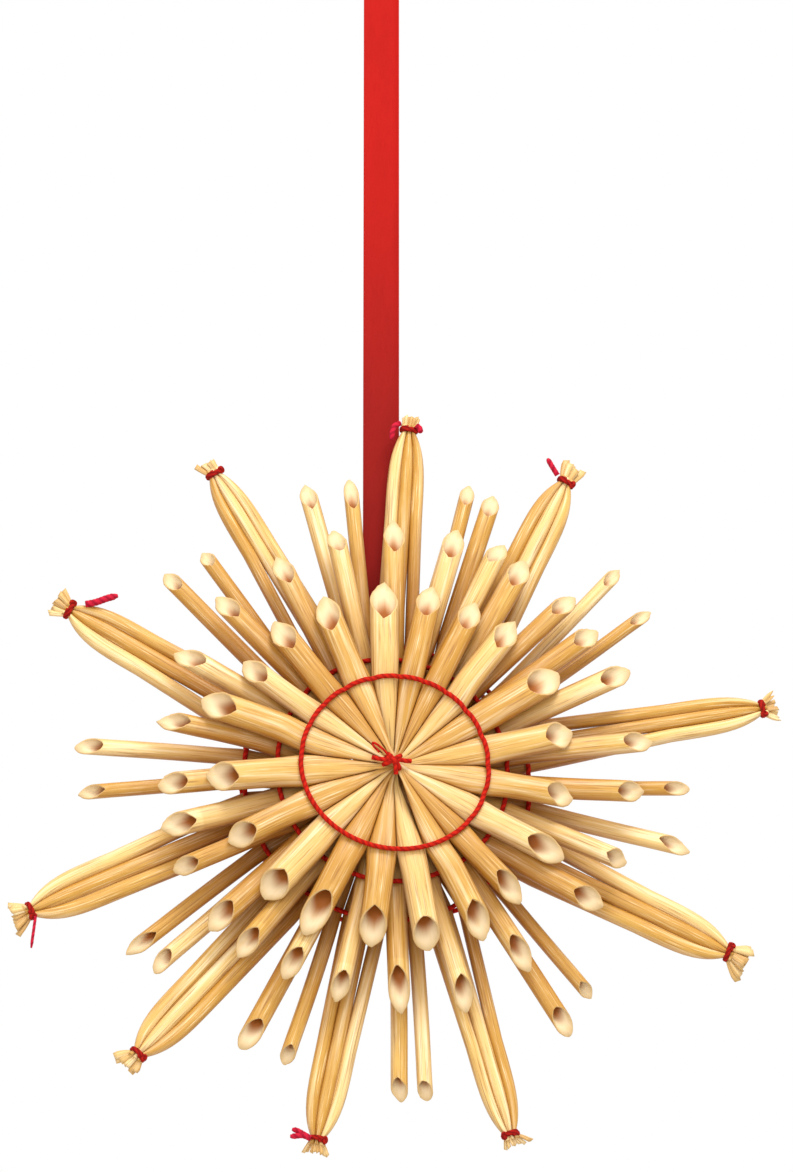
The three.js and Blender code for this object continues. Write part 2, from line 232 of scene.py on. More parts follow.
class Tint:
    """Colour or vector that varies over a surface."""

    def __init__(self, shader: Shader, socket: bpy.types.NodeSocket) -> None:
        """Wrap a socket of a shader."""
        self.shader = shader
        self.socket = socket

    def towards(self, other: Tint | Colour, share: Value | float) -> Tint:
        """This colour mixed towards another one.

        Args:
            other: the colour at a share of 1.
            share: how much of it.

        Returns:
            The mix.
        """
        return self.shader.mixed(self, other, share)

    def times(self, other: Tint | Colour, share: Value | float) -> Tint:
        """This colour darkened by another one.

        Args:
            other: the colour to multiply by.
            share: how much of the effect.

        Returns:
            The product.
        """
        return self.shader.mixed(self, other, share, "MULTIPLY")

    def scaled(self, factors: Sequence[float]) -> Tint:
        """This vector with each part multiplied by its own factor."""
        inputs = {0: self, 1: tuple(factors)}
        return self.shader.tint("ShaderNodeVectorMath", {"operation": "MULTIPLY"}, inputs)

    def parts(self) -> tuple[Value, Value, Value]:
        """The vector's three numbers."""
        node = self.shader.node("ShaderNodeSeparateXYZ", {}, {0: self})
        return tuple(Value(self.shader, node.outputs[i]) for i in range(3))


class Shader:
    """Node tree of one material with one Principled surface."""

    def __init__(self, name: str) -> None:
        """Make an empty material.

        Args:
            name: of the material.
        """
        self.material = bpy.data.materials.new(name)
        self.material.use_nodes = True
        self.tree = self.material.node_tree
        self.tree.nodes.clear()

    def node(self, kind: str, settings: Settings, inputs: Inputs) -> bpy.types.Node:
        """Any node, with its settings made before its sockets are filled.

        Args:
            kind: the node's type.
            settings: properties of the node; `stops` sets the stops of a ramp.
            inputs: socket name or number to a number, a tuple, a Value or a Tint.

        Returns:
            The new node.
        """
        made = self.tree.nodes.new(kind)
        for name, setting in settings.items():
            if name == "stops":
                ramp = made.color_ramp.elements
                while len(ramp) < len(setting):
                    ramp.new(0.5)
                for element, (position, paint) in zip(ramp, setting):
                    element.position, element.color = position, paint
            else:
                setattr(made, name, setting)
        for name, given in inputs.items():
            socket = made.inputs[name]
            if isinstance(given, (Value, Tint)):
                self.tree.links.new(given.socket, socket)
            else:
                socket.default_value = given
        return made

    def value(self, kind: str, settings: Settings, inputs: Inputs, out: Any = 0) -> Value:
        """Number from a new node.

        Args:
            kind: the node's type.
            settings: as in `node`.
            inputs: as in `node`.
            out: output socket's name or number.

        Returns:
            The wrapped output.
        """
        return Value(self, self.node(kind, settings, inputs).outputs[out])

    def tint(self, kind: str, settings: Settings, inputs: Inputs, out: Any = 0) -> Tint:
        """Colour or vector from a new node, with the arguments of `value`."""
        return Tint(self, self.node(kind, settings, inputs).outputs[out])

    def mixed(self, first: Any, second: Any, share: Any, mode: str = "MIX") -> Tint:
        """Two colours mixed.

        Args:
            first: colour at a share of 0.
            second: colour at a share of 1.
            share: Value or number.
            mode: the Mix node's blend type.

        Returns:
            The mixed colour.
        """
        settings = {"data_type": "RGBA", "blend_type": mode, "clamp_factor": True}
        return self.tint("ShaderNodeMix", settings, {0: share, 6: first, 7: second}, 2)

    def attribute(self, name: str) -> Tint:
        """Vector stored on the mesh."""
        return self.tint("ShaderNodeAttribute", {"attribute_name": name}, {}, "Vector")

    def noise(self, place: Tint, scale: float, detail: float = 2.0, rough: float = 0.5) -> Value:
        """Cloudy pattern from 0 to 1.

        Args:
            place: where it is looked up.
            scale: how fine it is.
            detail: how many finer layers it has.
            rough: how strong they are.

        Returns:
            The pattern.
        """
        inputs = {"Vector": place, "Scale": scale, "Detail": detail, "Roughness": rough}
        return self.value("ShaderNodeTexNoise", {}, inputs)

    def relief(self, height: Value, depth: float, strength: float = 1.0) -> Tint:
        """Normal of a surface with a raised pattern.

        Args:
            height: the pattern, about 0 to 1.
            depth: how far 1 stands above 0, in metres.
            strength: how much of it shows.

        Returns:
            The normal.
        """
        inputs = {"Height": height, "Distance": depth, "Strength": strength}
        return self.tint("ShaderNodeBump", {}, inputs, "Normal")

    def surface(self, inputs: Mapping[str, Any]) -> bpy.types.Material:
        """Finish the material.

        Args:
            inputs: sockets of the Principled surface.

        Returns:
            The material.
        """
        shaded = self.node("ShaderNodeBsdfPrincipled", {}, inputs)
        output = self.node("ShaderNodeOutputMaterial", {}, {})
        self.tree.links.new(shaded.outputs[0], output.inputs["Surface"])
        return self.material


# ------------------------------------------------------------------ finishes
STRAW_PLACE = "straw_place"  # around, along and number of the straw, in millimetres
STRAW_MARKS = "straw_marks"  # flank_shade, inside, hollow: painted side shade, share of the lining, painted shade deep in the mouth
STRAW_TONE = "straw_tone"  # tone of the straw, painted shade near the ring, cut edge
THREAD_PLACE = "thread_place"  # around, along and number of the thread


@dataclass(frozen=True)
class StrawFinish:
    """Waxy golden straw with lengthwise fibres, pale inside, with painted shade on its sides, near
    the thread ring and deep in its mouth.
    """

    name: str = "straw"
    slot: str = "straw"
    gold: Colour = field(default_factory=lambda: colour(0xDDB257))
    cream: Colour = field(default_factory=lambda: colour(0xF8E4B8))
    honey: Colour = field(default_factory=lambda: colour(0xC28E32))
    # amber_shade: colour of the painted shade on the straw's sides and near the ring
    amber_shade: Colour = field(default_factory=lambda: colour(0x9C560E))
    fibre: Colour = field(default_factory=lambda: colour(0x8E5A20))
    lining: Colour = field(default_factory=lambda: colour(0xE8CFA6))
    # hollow: colour of the painted shade deep inside an open mouth
    hollow: Colour = field(default_factory=lambda: colour(0xA45A08))
    edge: Colour = field(default_factory=lambda: colour(0xC9A468))
    roughness: float = 0.42

    def material(self) -> bpy.types.Material:
        """Build the straw material.

        Returns:
            The material.
        """
        shader = Shader(self.name)
        place = shader.attribute(STRAW_PLACE)
        flank_shade, inside, hollow = shader.attribute(STRAW_MARKS).parts()
        tone, painted_shade, edge = shader.attribute(STRAW_TONE).parts()

        fine = shader.noise(place.scaled((5.0, 0.10, 3.0)), 1.0, 3.0, 0.6)
        broad = shader.noise(place.scaled((1.1, 0.035, 3.0)), 1.0, 2.0)
        cloud = shader.noise(place.scaled((0.35, 0.10, 5.0)), 1.0, 2.0)
        creases = shader.noise(place.scaled((2.6, 0.03, 7.0)), 1.0, 1.0)

        skin = shader.mixed(self.gold, self.honey, (tone * 1.2 + cloud - 0.6).step(0.1, 0.9))
        # pale straws turn paler, less so in the painted shade near the ring
        skin = skin.towards(self.cream, (0.55 - tone).clamped() * 0.55 * (1.0 - painted_shade))
        skin = skin.towards(self.cream, broad.step(0.46, 0.70) * (1.1 - tone) * 0.8)
        skin = skin.towards(self.cream, fine.step(0.54, 0.72) * 0.7)
        skin = skin.towards(self.fibre, fine.step(0.48, 0.30) * 0.7)
        skin = skin.towards(self.fibre, creases.step(0.66, 0.74) * 0.6)
        # painted shade: the straw's sides turn amber, more so near the ring
        skin = skin.towards(self.amber_shade, (flank_shade**2.2 * (0.5 + painted_shade * 0.5)).clamped() * 0.85)
        # painted shade: amber from the axis out past the thread ring
        skin = skin.towards(self.amber_shade, painted_shade * 0.5)

        pith = shader.noise(place.scaled((1.8, 0.5, 2.0)), 1.0, 2.0)
        inner = shader.mixed(self.lining, self.gold, pith.step(0.5, 0.8) * 0.35)
        # painted shade: the lining darkens to amber brown deeper in the mouth
        inner = inner.towards(self.hollow, hollow.step(0.14, 0.34))
        paint = skin.towards(inner, inside)
        paint = paint.towards(self.edge, edge * 0.85)

        relief = fine * 0.5 + broad * 0.6 - creases.step(0.64, 0.74) * 0.8
        rough = self.roughness + fine * 0.16 + inside * 0.25
        return shader.surface(
            {
                "Base Color": paint,
                "Roughness": rough,
                "Normal": shader.relief(relief, 0.00006, 0.6),
                "IOR": 1.48,
                "Coat Roughness": 0.25,
                "Coat Weight": 0.15,
            }
        )


@dataclass(frozen=True)
class ThreadFinish:
    """Twisted cotton thread."""

    name: str
    bright: Colour
    deep: Colour
    slot: str = "red_thread"

    def material(self) -> bpy.types.Material:
        """Build the thread material.

        Returns:
            The material.
        """
        shader = Shader(self.name)
        place = shader.attribute(THREAD_PLACE)
        about, along, _ = place.parts()
        twist = (about * 2.0 + along * 5.2).sine() * 0.5 + 0.5
        hairs = shader.noise(place.scaled((3.0, 2.2, 1.0)), 1.6, 3.0, 0.65)
        patches = shader.noise(place.scaled((0.2, 0.22, 1.0)), 1.0, 2.0)
        paint = shader.mixed(self.deep, self.bright, (twist * 0.55 + hairs * 0.75).step(0.15, 0.95))
        paint = paint.towards(self.deep, patches.step(0.5, 0.8) * 0.45)
        return shader.surface(
            {
                "Base Color": paint,
                "Roughness": 0.72 + hairs * 0.2,
                "Normal": shader.relief(twist * 0.6 + hairs * 0.5, 0.00010, 0.8),
                "Specular IOR Level": 0.12,
            }
        )


@dataclass(frozen=True)
class RibbonFinish:
    """Flat satin ribbon with fine cross threads, painted lighter near the hook and darker towards
    the star as light and shade from above.
    """

    name: str = "ribbon"
    slot: str = "ribbon"
    # light and deep: lit and shaded red of the painted light from above
    light: Colour = field(default_factory=lambda: colour(0xAC0E06))
    deep: Colour = field(default_factory=lambda: colour(0x86100A))
    thread_pitch: float = 0.16
    # painted light down to this far below the hook, painted shade from the next distance on, in
    # millimetres
    painted_light_down_to: float = 30.0
    painted_shade_from: float = 110.0

    def material(self) -> bpy.types.Material:
        """Build the ribbon material.

        Returns:
            The material.
        """
        shader = Shader(self.name)
        place = shader.attribute(THREAD_PLACE)
        across, along, height = place.parts()
        weft = (along * (2 * math.pi / self.thread_pitch)).sine() * 0.5 + 0.5
        warp = shader.noise(place.scaled((9.0, 0.35, 0.0)), 1.0, 3.0, 0.6)
        cloud = shader.noise(place.scaled((0.3, 0.06, 0.0)), 1.0, 2.0)
        # painted light and shade: lighter near the hook at the top, darker towards the star
        paint = shader.mixed(self.deep, self.light, height.step(-self.painted_shade_from, -self.painted_light_down_to))
        paint = paint.times(colour(0xE9D8D8), warp.step(0.45, 0.75) * 0.5 + weft * 0.15)
        paint = paint.times(colour(0xEFE3E3), cloud.step(0.4, 0.7) * 0.4)
        return shader.surface(
            {
                "Base Color": paint,
                "Roughness": 0.62 + warp * 0.14,
                "Normal": shader.relief(weft * 0.35 + warp * 0.5, 0.00003, 0.5),
                "Specular IOR Level": 0.12,
            }
        )


# ------------------------------------------------------------------ placing and meshes
@dataclass(frozen=True)
class Placement:
    """Where the star hangs below the hook, in millimetres."""

    shift: float = 0.35
    drop: float = 160.0
    behind: float = 8.5

    def metres(self, points: Array) -> Array:
        """Star coordinates as metres in the row's frame."""
        return (np.asarray(points, float) + (self.shift, -self.behind, -self.drop)) * MM


STAR = Placement()
HOOK = Placement(0.0, 0.0, 0.0)


class MeshDraft:
    """Collects grids and faces with stored vectors, and makes one mesh of them."""

    def __init__(self, *stored: str) -> None:
        """Start an empty draft.

        Args:
            stored: names of the vectors that it stores on each point.
        """
        self.points: list[Array] = []
        self.faces: list[tuple[int, ...]] = []
        self.stored: dict[str, list[Array]] = {name: [] for name in stored}
        self.count = 0

    def _take(self, points: Array, stored: Mapping[str, Array]) -> int:
        """Add points with what is stored on them.

        Args:
            points: rows of x, y and z.
            stored: an array of rows of three for each stored name.

        Returns:
            The number of the first new point.
        """
        start = self.count
        self.points.append(points)
        for name, rows in self.stored.items():
            rows.append(np.broadcast_to(stored.get(name, np.zeros(3)), points.shape))
        self.count += len(points)
        return start

    def tube(self, rows: Array, stored: Mapping[str, Array], closed: bool = False) -> None:
        """Closed body through rows of points.

        Args:
            rows: array of rows, points around, and x, y, z.
            stored: arrays of the same shape.
            closed: whether the last row joins the first, as in a ring.
        """
        count, sides, _ = rows.shape
        flat = {name: np.broadcast_to(a, rows.shape).reshape(-1, 3) for name, a in stored.items()}
        start = self._take(rows.reshape(-1, 3), flat)
        for row in range(count if closed else count - 1):
            here, there = start + row * sides, start + (row + 1) % count * sides
            for corner in range(sides):
                after = (corner + 1) % sides
                self.faces.append((here + corner, here + after, there + after, there + corner))
        if not closed:
            self.faces.append(tuple(start + corner for corner in reversed(range(sides))))
            last = start + (count - 1) * sides
            self.faces.append(tuple(last + corner for corner in range(sides)))

    def build(self, name: str, place: Placement, material: bpy.types.Material) -> bpy.types.Object:
        """Make the object.

        Args:
            name: the piece's name.
            place: where its coordinates start.
            material: its finish.

        Returns:
            The new object, smooth shaded.
        """
        mesh = bpy.data.meshes.new(name)
        mesh.from_pydata(place.metres(np.concatenate(self.points)), [], self.faces)
        for title, rows in self.stored.items():
            layer = mesh.attributes.new(title, "FLOAT_VECTOR", "POINT")
            layer.data.foreach_set("vector", np.concatenate(rows).astype(np.float32).ravel())
        mesh.polygons.foreach_set("use_smooth", [len(face) == 4 for face in self.faces])
        mesh.materials.append(material)
        mesh.validate()
        made = bpy.data.objects.new(name, mesh)
        bpy.context.scene.collection.objects.link(made)
        bpy.context.view_layer.objects.active = made
        return made


def hand_over(piece: bpy.types.Object, slot: str, *nodes: str) -> None:
    """Tie a finished piece to the row and report it.

    Args:
        piece: the piece.
        slot: not used.
        nodes: the CAD nodes it stands for.
    """
    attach(piece, "root")
    if nodes:
        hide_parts(*nodes)
    stands_for = ", ".join(nodes) or "trim"
    LOG.info("%s: %d faces, stands for %s", piece.name, len(piece.data.polygons), stands_for)


# ------------------------------------------------------------------ straws
@dataclass(frozen=True)
class Sheaf:
    """Sizes that the straws of one sheaf share, in millimetres."""

    ring: float
    depth: float
    waist: float
    width: float
    thickness: float
    ring_thickness: float
    stack_depth: float
    wall: float = 0.26
    squareness: float = 2.3
    # how much of the painted shade near the ring its straws take
    shade: float = 1.0
    spare: float = 0.35

    def with_width(self, width: float) -> Sheaf:
        """The same sheaf for a straw of another width."""
        values = {**self.__dict__, "width": width}
        return Sheaf(**values)


WAIST_THICKNESS = 0.2  # of a straw where all of them cross
STACK_PITCH = 0.3  # from one straw to the next where they cross
NEIGHBOUR_GAP = 0.12  # left between two straws
SIDES = 28  # corners of a straw's cross section
RIDGES = 7  # low ridges along each straw
SHOULDER = 1.2  # whole straw kept between the cut and the last plain row
HOLLOW_DEPTH = 9.0  # how far the hollow of a mouth goes in


@dataclass
class Cut:
    """How an end is cut open.

    Attributes:
        slant: how far the front wall is cut back, in millimetres.
        skew: how far the cut is turned around the straw, in degrees.
        point: 0 for a round mouth, 1 for a pointed one.
        rag: how ragged its edge is, in millimetres.
    """

    slant: float
    skew: float
    point: float = 0.5
    rag: float = 0.12


@dataclass
class Half:
    """One half of a straw, as rows of points from its waist out to its mouth and back inside."""

    rows: list[Array] = field(default_factory=list)
    place: list[Array] = field(default_factory=list)
    marks: list[Array] = field(default_factory=list)
    tone: list[Array] = field(default_factory=list)

    def turned(self) -> Half:
        """The same half for the straw's other side.

        Returns:
            A half with its rows reversed.
        """
        order = (SIDES // 2 - 1 - np.arange(SIDES)) % SIDES
        lists = (self.rows, self.place, self.marks, self.tone)
        return Half(*([row[order] for row in reversed(items)] for items in lists))

    def __add__(self, other: Half) -> Half:
        """Two halves one after the other."""
        return Half(
            self.rows + other.rows,
            self.place + other.place,
            self.marks + other.marks,
            self.tone + other.tone,
        )


class StrawMaker:
    """Draws the rows of one straw half in a sheaf."""

    ANGLES = (np.arange(SIDES) + 0.5) / SIDES * 2 * math.pi

    def __init__(self, sheaf: Sheaf, number: int, seed: int) -> None:
        """Settle what is particular about one straw.

        Args:
            sheaf: the sheaf's sizes.
            number: number that shifts the straw's pattern.
            seed: seed of its small irregularities.
        """
        self.sheaf = sheaf
        self.number = float(number)
        self.draw = random.Random(seed)
        self.tone = self.draw.uniform(0.0, 1.0)
        uniform = self.draw.uniform
        self.ridges = [
            (uniform(0, 2 * math.pi), uniform(0.10, 0.22), uniform(-0.07, 0.05))
            for _ in range(RIDGES)
        ]

    def _section(
        self,
        at: Array,
        heading: float,
        depth: float,
        width: float,
        thickness: float,
        push: Array | float = 0.0,
        crown: float = 0.0,
    ) -> Array:
        """Points of one cross section.

        Args:
            at: its middle, x and z.
            heading: which way the straw runs there.
            depth: how far back its middle is.
            width: across.
            thickness: front to back.
            push: how far each corner is pushed along the straw.
            crown: how far the middle of the front stands proud.

        Returns:
            An array of points.
        """
        angle = math.radians(heading)
        along = np.array([math.cos(angle), 0.0, math.sin(angle)])
        side = np.array([-math.sin(angle), 0.0, math.cos(angle)])
        cosine, sine = np.cos(self.ANGLES), np.sin(self.ANGLES)
        power = 2.0 / self.sheaf.squareness
        across = np.sign(cosine) * np.abs(cosine) ** power
        front = np.sign(sine) * np.abs(sine) ** power
        ridge = np.zeros(SIDES)
        for middle, spread, height in self.ridges:
            apart = (self.ANGLES - middle + math.pi) % (2 * math.pi) - math.pi
            ridge += height * np.exp(-((apart / spread) ** 2))
        swell = 1.0 + ridge * min(1.0, thickness / 2.0)
        points = np.zeros((SIDES, 3))
        points[:, 0], points[:, 2] = at
        points[:, 1] = depth
        points += np.outer(across * width * 0.5 * (1 + ridge * 0.25), side)
        points[:, 1] -= front * thickness * 0.5 * swell + crown * np.clip(sine, 0, 1)
        points += np.outer(np.broadcast_to(push, (SIDES,)), along)
        return points

    def _store(
        self, half: Half, row: Array, along: float, width: float, radius: float, **marks: Any
    ) -> None:
        """Add a row and what is stored on it.

        Args:
            half: what it is added to.
            row: its points.
            along: how far along the straw it is.
            width: how wide the straw is there.
            radius: its distance from the axis.
            marks: `inside`, `hollow` and `edge`, each a number or one for each corner; `hollow` is
                how deep the row lies in the mouth, for its painted shade.
        """
        # flank_shade: painted shade towards each side of the straw
        flank_shade = np.abs(np.cos(self.ANGLES)) ** 1.5
        # painted_shade: full from the axis to a little past the ring, gone 20 mm further out,
        # scaled by the sheaf's shade
        outside = (radius - self.sheaf.ring * 1.1) / 20.0
        painted_shade = float(np.clip(1.0 - outside, 0.0, 1.0)) * self.sheaf.shade
        # the pattern runs across the front and back over it, so that it has no seam
        girth = np.cos(self.ANGLES) * width * 0.5 + np.where(np.sin(self.ANGLES) > 0, 0.0, 40.0)
        inside, hollow, edge = (marks.get(name, 0.0) for name in ("inside", "hollow", "edge"))
        half.rows.append(row)
        half.place.append(columns(SIDES, girth, along, self.number))
        half.marks.append(columns(SIDES, flank_shade, inside, hollow))
        half.tone.append(columns(SIDES, self.tone, painted_shade, edge))

    def _room(self, gaps: Gaps, radius: float) -> tuple[float, float]:
        """Room for a straw between its neighbours.

        Args:
            gaps: angles to its two neighbours, in radians.
            radius: distance from the axis.

        Returns:
            Its width there, and how far its middle is sideways of the seat.
        """
        most = self.sheaf.width * 0.5 + self.sheaf.spare
        before, after = (min(most, radius * gap * 0.5 - NEIGHBOUR_GAP * 0.25) for gap in gaps)
        return before + after, (after - before) * 0.5

    def wedge(self, half: Half, seat: float, gaps: Gaps, stack_depth: float) -> None:
        """Part between the axis and the thread.

        Args:
            half: what it is added to.
            seat: heading of the end where it crosses the thread.
            gaps: angles to its two neighbours, in radians.
            stack_depth: depth of its waist.
        """
        sheaf = self.sheaf
        for radius in np.linspace(sheaf.waist, sheaf.ring - 0.9, 9):
            share = (radius - sheaf.waist) / (sheaf.ring - sheaf.waist)
            width, sideways = self._room(gaps, radius)
            thickness = WAIST_THICKNESS + (sheaf.ring_thickness - WAIST_THICKNESS) * share
            depth = stack_depth + (sheaf.depth - stack_depth) * share
            at = polar(seat, radius) + polar(seat + 90, sideways)
            row = self._section(at, seat, depth, width, thickness)
            self._store(half, row, radius, width, radius)

    def mouth_push(self, cut: Cut) -> Array:
        """How far each corner of the mouth is cut back.

        Args:
            cut: how the end is cut.

        Returns:
            Distances along the straw, all zero or less.
        """
        turned = self.ANGLES + math.radians(cut.skew)
        smooth = np.sin(turned)
        pointed = 2.0 / math.pi * np.arcsin(np.clip(smooth, -1, 1))
        shape = smooth * (1 - cut.point) + pointed * cut.point
        rag = np.array([self.draw.uniform(-1, 1) for _ in range(SIDES)]) * cut.rag
        return -cut.slant * 0.5 * (1 + shape) + rag

    def open_end(
        self, half: Half, seat: float, gaps: Gaps, tip: float, reach: float, cut: Cut
    ) -> None:
        """Part beyond the thread, with its open mouth and the tube's inside running back from it.

        Args:
            half: what it is added to.
            seat: heading where it crosses the thread.
            gaps: angles to its two neighbours, in radians.
            tip: heading of its end.
            reach: distance of its end from the axis.
            cut: how its end is cut.
        """
        sheaf = self.sheaf
        start, end = polar(seat, sheaf.ring), polar(tip, reach)
        length = float(np.linalg.norm(end - start))
        heading = seat + signed(math.degrees(math.atan2(*(end - start)[::-1])) - seat)
        ring_width, ring_side = self._room(gaps, sheaf.ring)
        body = length - cut.slant - SHOULDER
        push = self.mouth_push(cut)
        bend = self.draw.uniform(-0.25, 0.25)

        def shape(distance: float) -> tuple[Array, float, float, float]:
            """Cross section beyond the thread.

            Args:
                distance: from the thread.

            Returns:
                Its middle, heading, width and thickness.
            """
            share = distance / length
            swell = float(ease(distance, 0.0, 5.0))
            sideways = bend * math.sin(math.pi * min(share, 1.0)) + ring_side * (1 - swell)
            at = start + (end - start) * share + polar(heading + 90, sideways)
            turn = seat + (heading - seat) * float(ease(distance, -1.0, 2.0))
            width = ring_width + (sheaf.width - ring_width) * swell
            thickness = sheaf.ring_thickness + (sheaf.thickness - sheaf.ring_thickness) * swell
            thickness *= 1 - 0.10 * float(bump(distance, 0.0, 0.7))
            return at, turn, width, thickness

        near_thread = (-0.4, 0.0, 0.4, 0.9, 1.6, 2.6, 3.8)
        for distance in (*near_thread, *np.linspace(5.2, max(body, 6.0), 9)):
            at, turn, width, thickness = shape(distance)
            radius = float(np.linalg.norm(at))
            row = self._section(at, turn, sheaf.depth, width, thickness)
            self._store(half, row, sheaf.ring + distance, width, radius)

        at, turn, width, thickness = shape(body)
        remaining = length - body + push
        for share in (0.25, 0.5, 0.75, 0.93):
            row = self._section(at, heading, sheaf.depth, width, thickness, remaining * share)
            self._store(half, row, sheaf.ring + body + 2 * share, width, reach)
        for inset, lip, edge in ((0.0, 0.0, 0.35), (0.45, 0.05, 1.0), (1.0, 0.0, 0.8)):
            wall = 2 * sheaf.wall * inset
            row = self._section(
                at, heading, sheaf.depth, width - wall, thickness - wall, remaining + lip
            )
            self._store(half, row, reach, width, reach, edge=edge, inside=inset)
        inner_width, inner_thickness = width - 2 * sheaf.wall, thickness - 2 * sheaf.wall
        for step in (0.12, 0.35, 0.7, 1.0):
            depth_in = remaining * (1 - step) - step * HOLLOW_DEPTH
            taper = 1.0 - 0.35 * step
            row = self._section(
                at, heading, sheaf.depth, inner_width * taper, inner_thickness * taper, depth_in
            )
            # how deep the row lies in the mouth, for the painted shade there
            buried = (remaining - depth_in) / (cut.slant + HOLLOW_DEPTH)
            along = reach - step * HOLLOW_DEPTH
            self._store(half, row, along, width, reach, inside=1.0, hollow=buried)


def gaps_at(seats: Sequence[float], index: int) -> Gaps:
    """Angles from an end to its two neighbours, in radians.

    Args:
        seats: headings of all ends of the sheaf, in order.
        index: number of the end.

    Returns:
        The angle to the neighbour before it and to the one after it.
    """
    before = turn_between(around(seats, index - 1), around(seats, index))
    after = turn_between(around(seats, index), around(seats, index + 1))
    return math.radians(before), math.radians(after)


def draft_straw(draft: MeshDraft, outward: Half, inward: Half) -> None:
    """Add one straw right through the axis.

    Args:
        draft: the mesh it goes to.
        outward: its first half.
        inward: its other half.
    """
    whole = inward.turned() + outward
    stored = {STRAW_PLACE: np.array(whole.place), STRAW_MARKS: np.array(whole.marks)}
    stored[STRAW_TONE] = np.array(whole.tone)
    draft.tube(np.array(whole.rows), stored)


def straw_draft() -> MeshDraft:
    """Empty mesh with all that a straw stores."""
    return MeshDraft(STRAW_PLACE, STRAW_MARKS, STRAW_TONE)


@dataclass
class OpenSheaf:
    """Sheaf whose ends are all free and open."""

    name: str
    sheaf: Sheaf
    tip: Sequence[float]
    reach: Sequence[float]
    finish: StrawFinish
    material: bpy.types.Material
    width: Sequence[float]
    slant: Sequence[float]
    skew: Sequence[float]
    seat: Sequence[float] = ()
    first_in_stack: int = 0

    def seats(self) -> list[float]:
        """Ring crossings, evened out between neighbours where they aren't given.

        Returns:
            Their headings, in degrees.
        """
        if self.seat:
            return list(self.seat)
        result = []
        for index, heading in enumerate(self.tip):
            before = turn_between(around(self.tip, index - 1), heading)
            after = turn_between(heading, around(self.tip, index + 1))
            result.append(heading + (after - before) / 3)
        return result

    def cut(self, end: int) -> Cut:
        """How an end is cut."""
        point = 0.8 + 0.2 * math.sin(end * 3.7 + 1.0)
        return Cut(self.slant[end], self.skew[end], point)

    def build(self) -> None:
        """Make every straw of the sheaf."""
        seats = self.seats()
        straws = len(seats) // 2
        for straw in range(straws):
            place = (straw - self.first_in_stack) % straws
            stack = self.sheaf.stack_depth + (place - (straws - 1) / 2) * STACK_PITCH
            maker = StrawMaker(self.sheaf, straw + len(self.name) * 7, straw * 31 + len(self.name))
            halves = []
            for end in (straw, straw + straws):
                half = Half()
                gaps = gaps_at(seats, end)
                maker.sheaf = self.sheaf.with_width(self.width[end])
                maker.wedge(half, seats[end], gaps, stack)
                tip, reach = self.tip[end], self.reach[end]
                maker.open_end(half, seats[end], gaps, tip, reach, self.cut(end))
                halves.append(half)
            draft = straw_draft()
            draft_straw(draft, *halves)
            node = f"{self.name}_{straw + 1:02d}"
            piece = draft.build(f"{node}_skin", STAR, self.material)
            hand_over(piece, self.finish.slot, node)


# ------------------------------------------------------------------ back sheaf
class Trim(Enum):
    """How the ends beyond a tie are trimmed: width of a blade at its root and at its end."""

    SLIVERS = (0.5, 0.62)
    FAN = (0.6, 1.05)
    LOBES = (0.6, 1.35)
    WINGS = (0.7, 0.75)


@dataclass(frozen=True)
class Fringe:
    """Trimmed ends beyond one tie, in millimetres.

    Attributes:
        trim: how they are trimmed.
        after: how far the fan reaches sideways, anticlockwise of the tie.
        before: the same clockwise.
        length: how far it stands beyond the tie.
        blades: how many blades it has.
        room: share of the usual width that the bundle takes.
    """

    trim: Trim
    after: float
    before: float
    length: float
    blades: int
    room: float


@dataclass
class Bundle:
    """Sizes of the three tied straws, in millimetres."""

    straight_share: float = 0.75
    pitch: float = 2.42
    width: float = 2.62
    thickness: float = 2.5
    pinch_pitch: float = 0.82
    pinch_width: float = 0.86
    pinch_thickness: float = 1.6
    stub: float = 0.9

    def roomy(self, share: float) -> Bundle:
        """The same bundle where it takes more or less room."""
        return Bundle(self.straight_share, self.pitch * share, self.width * share)


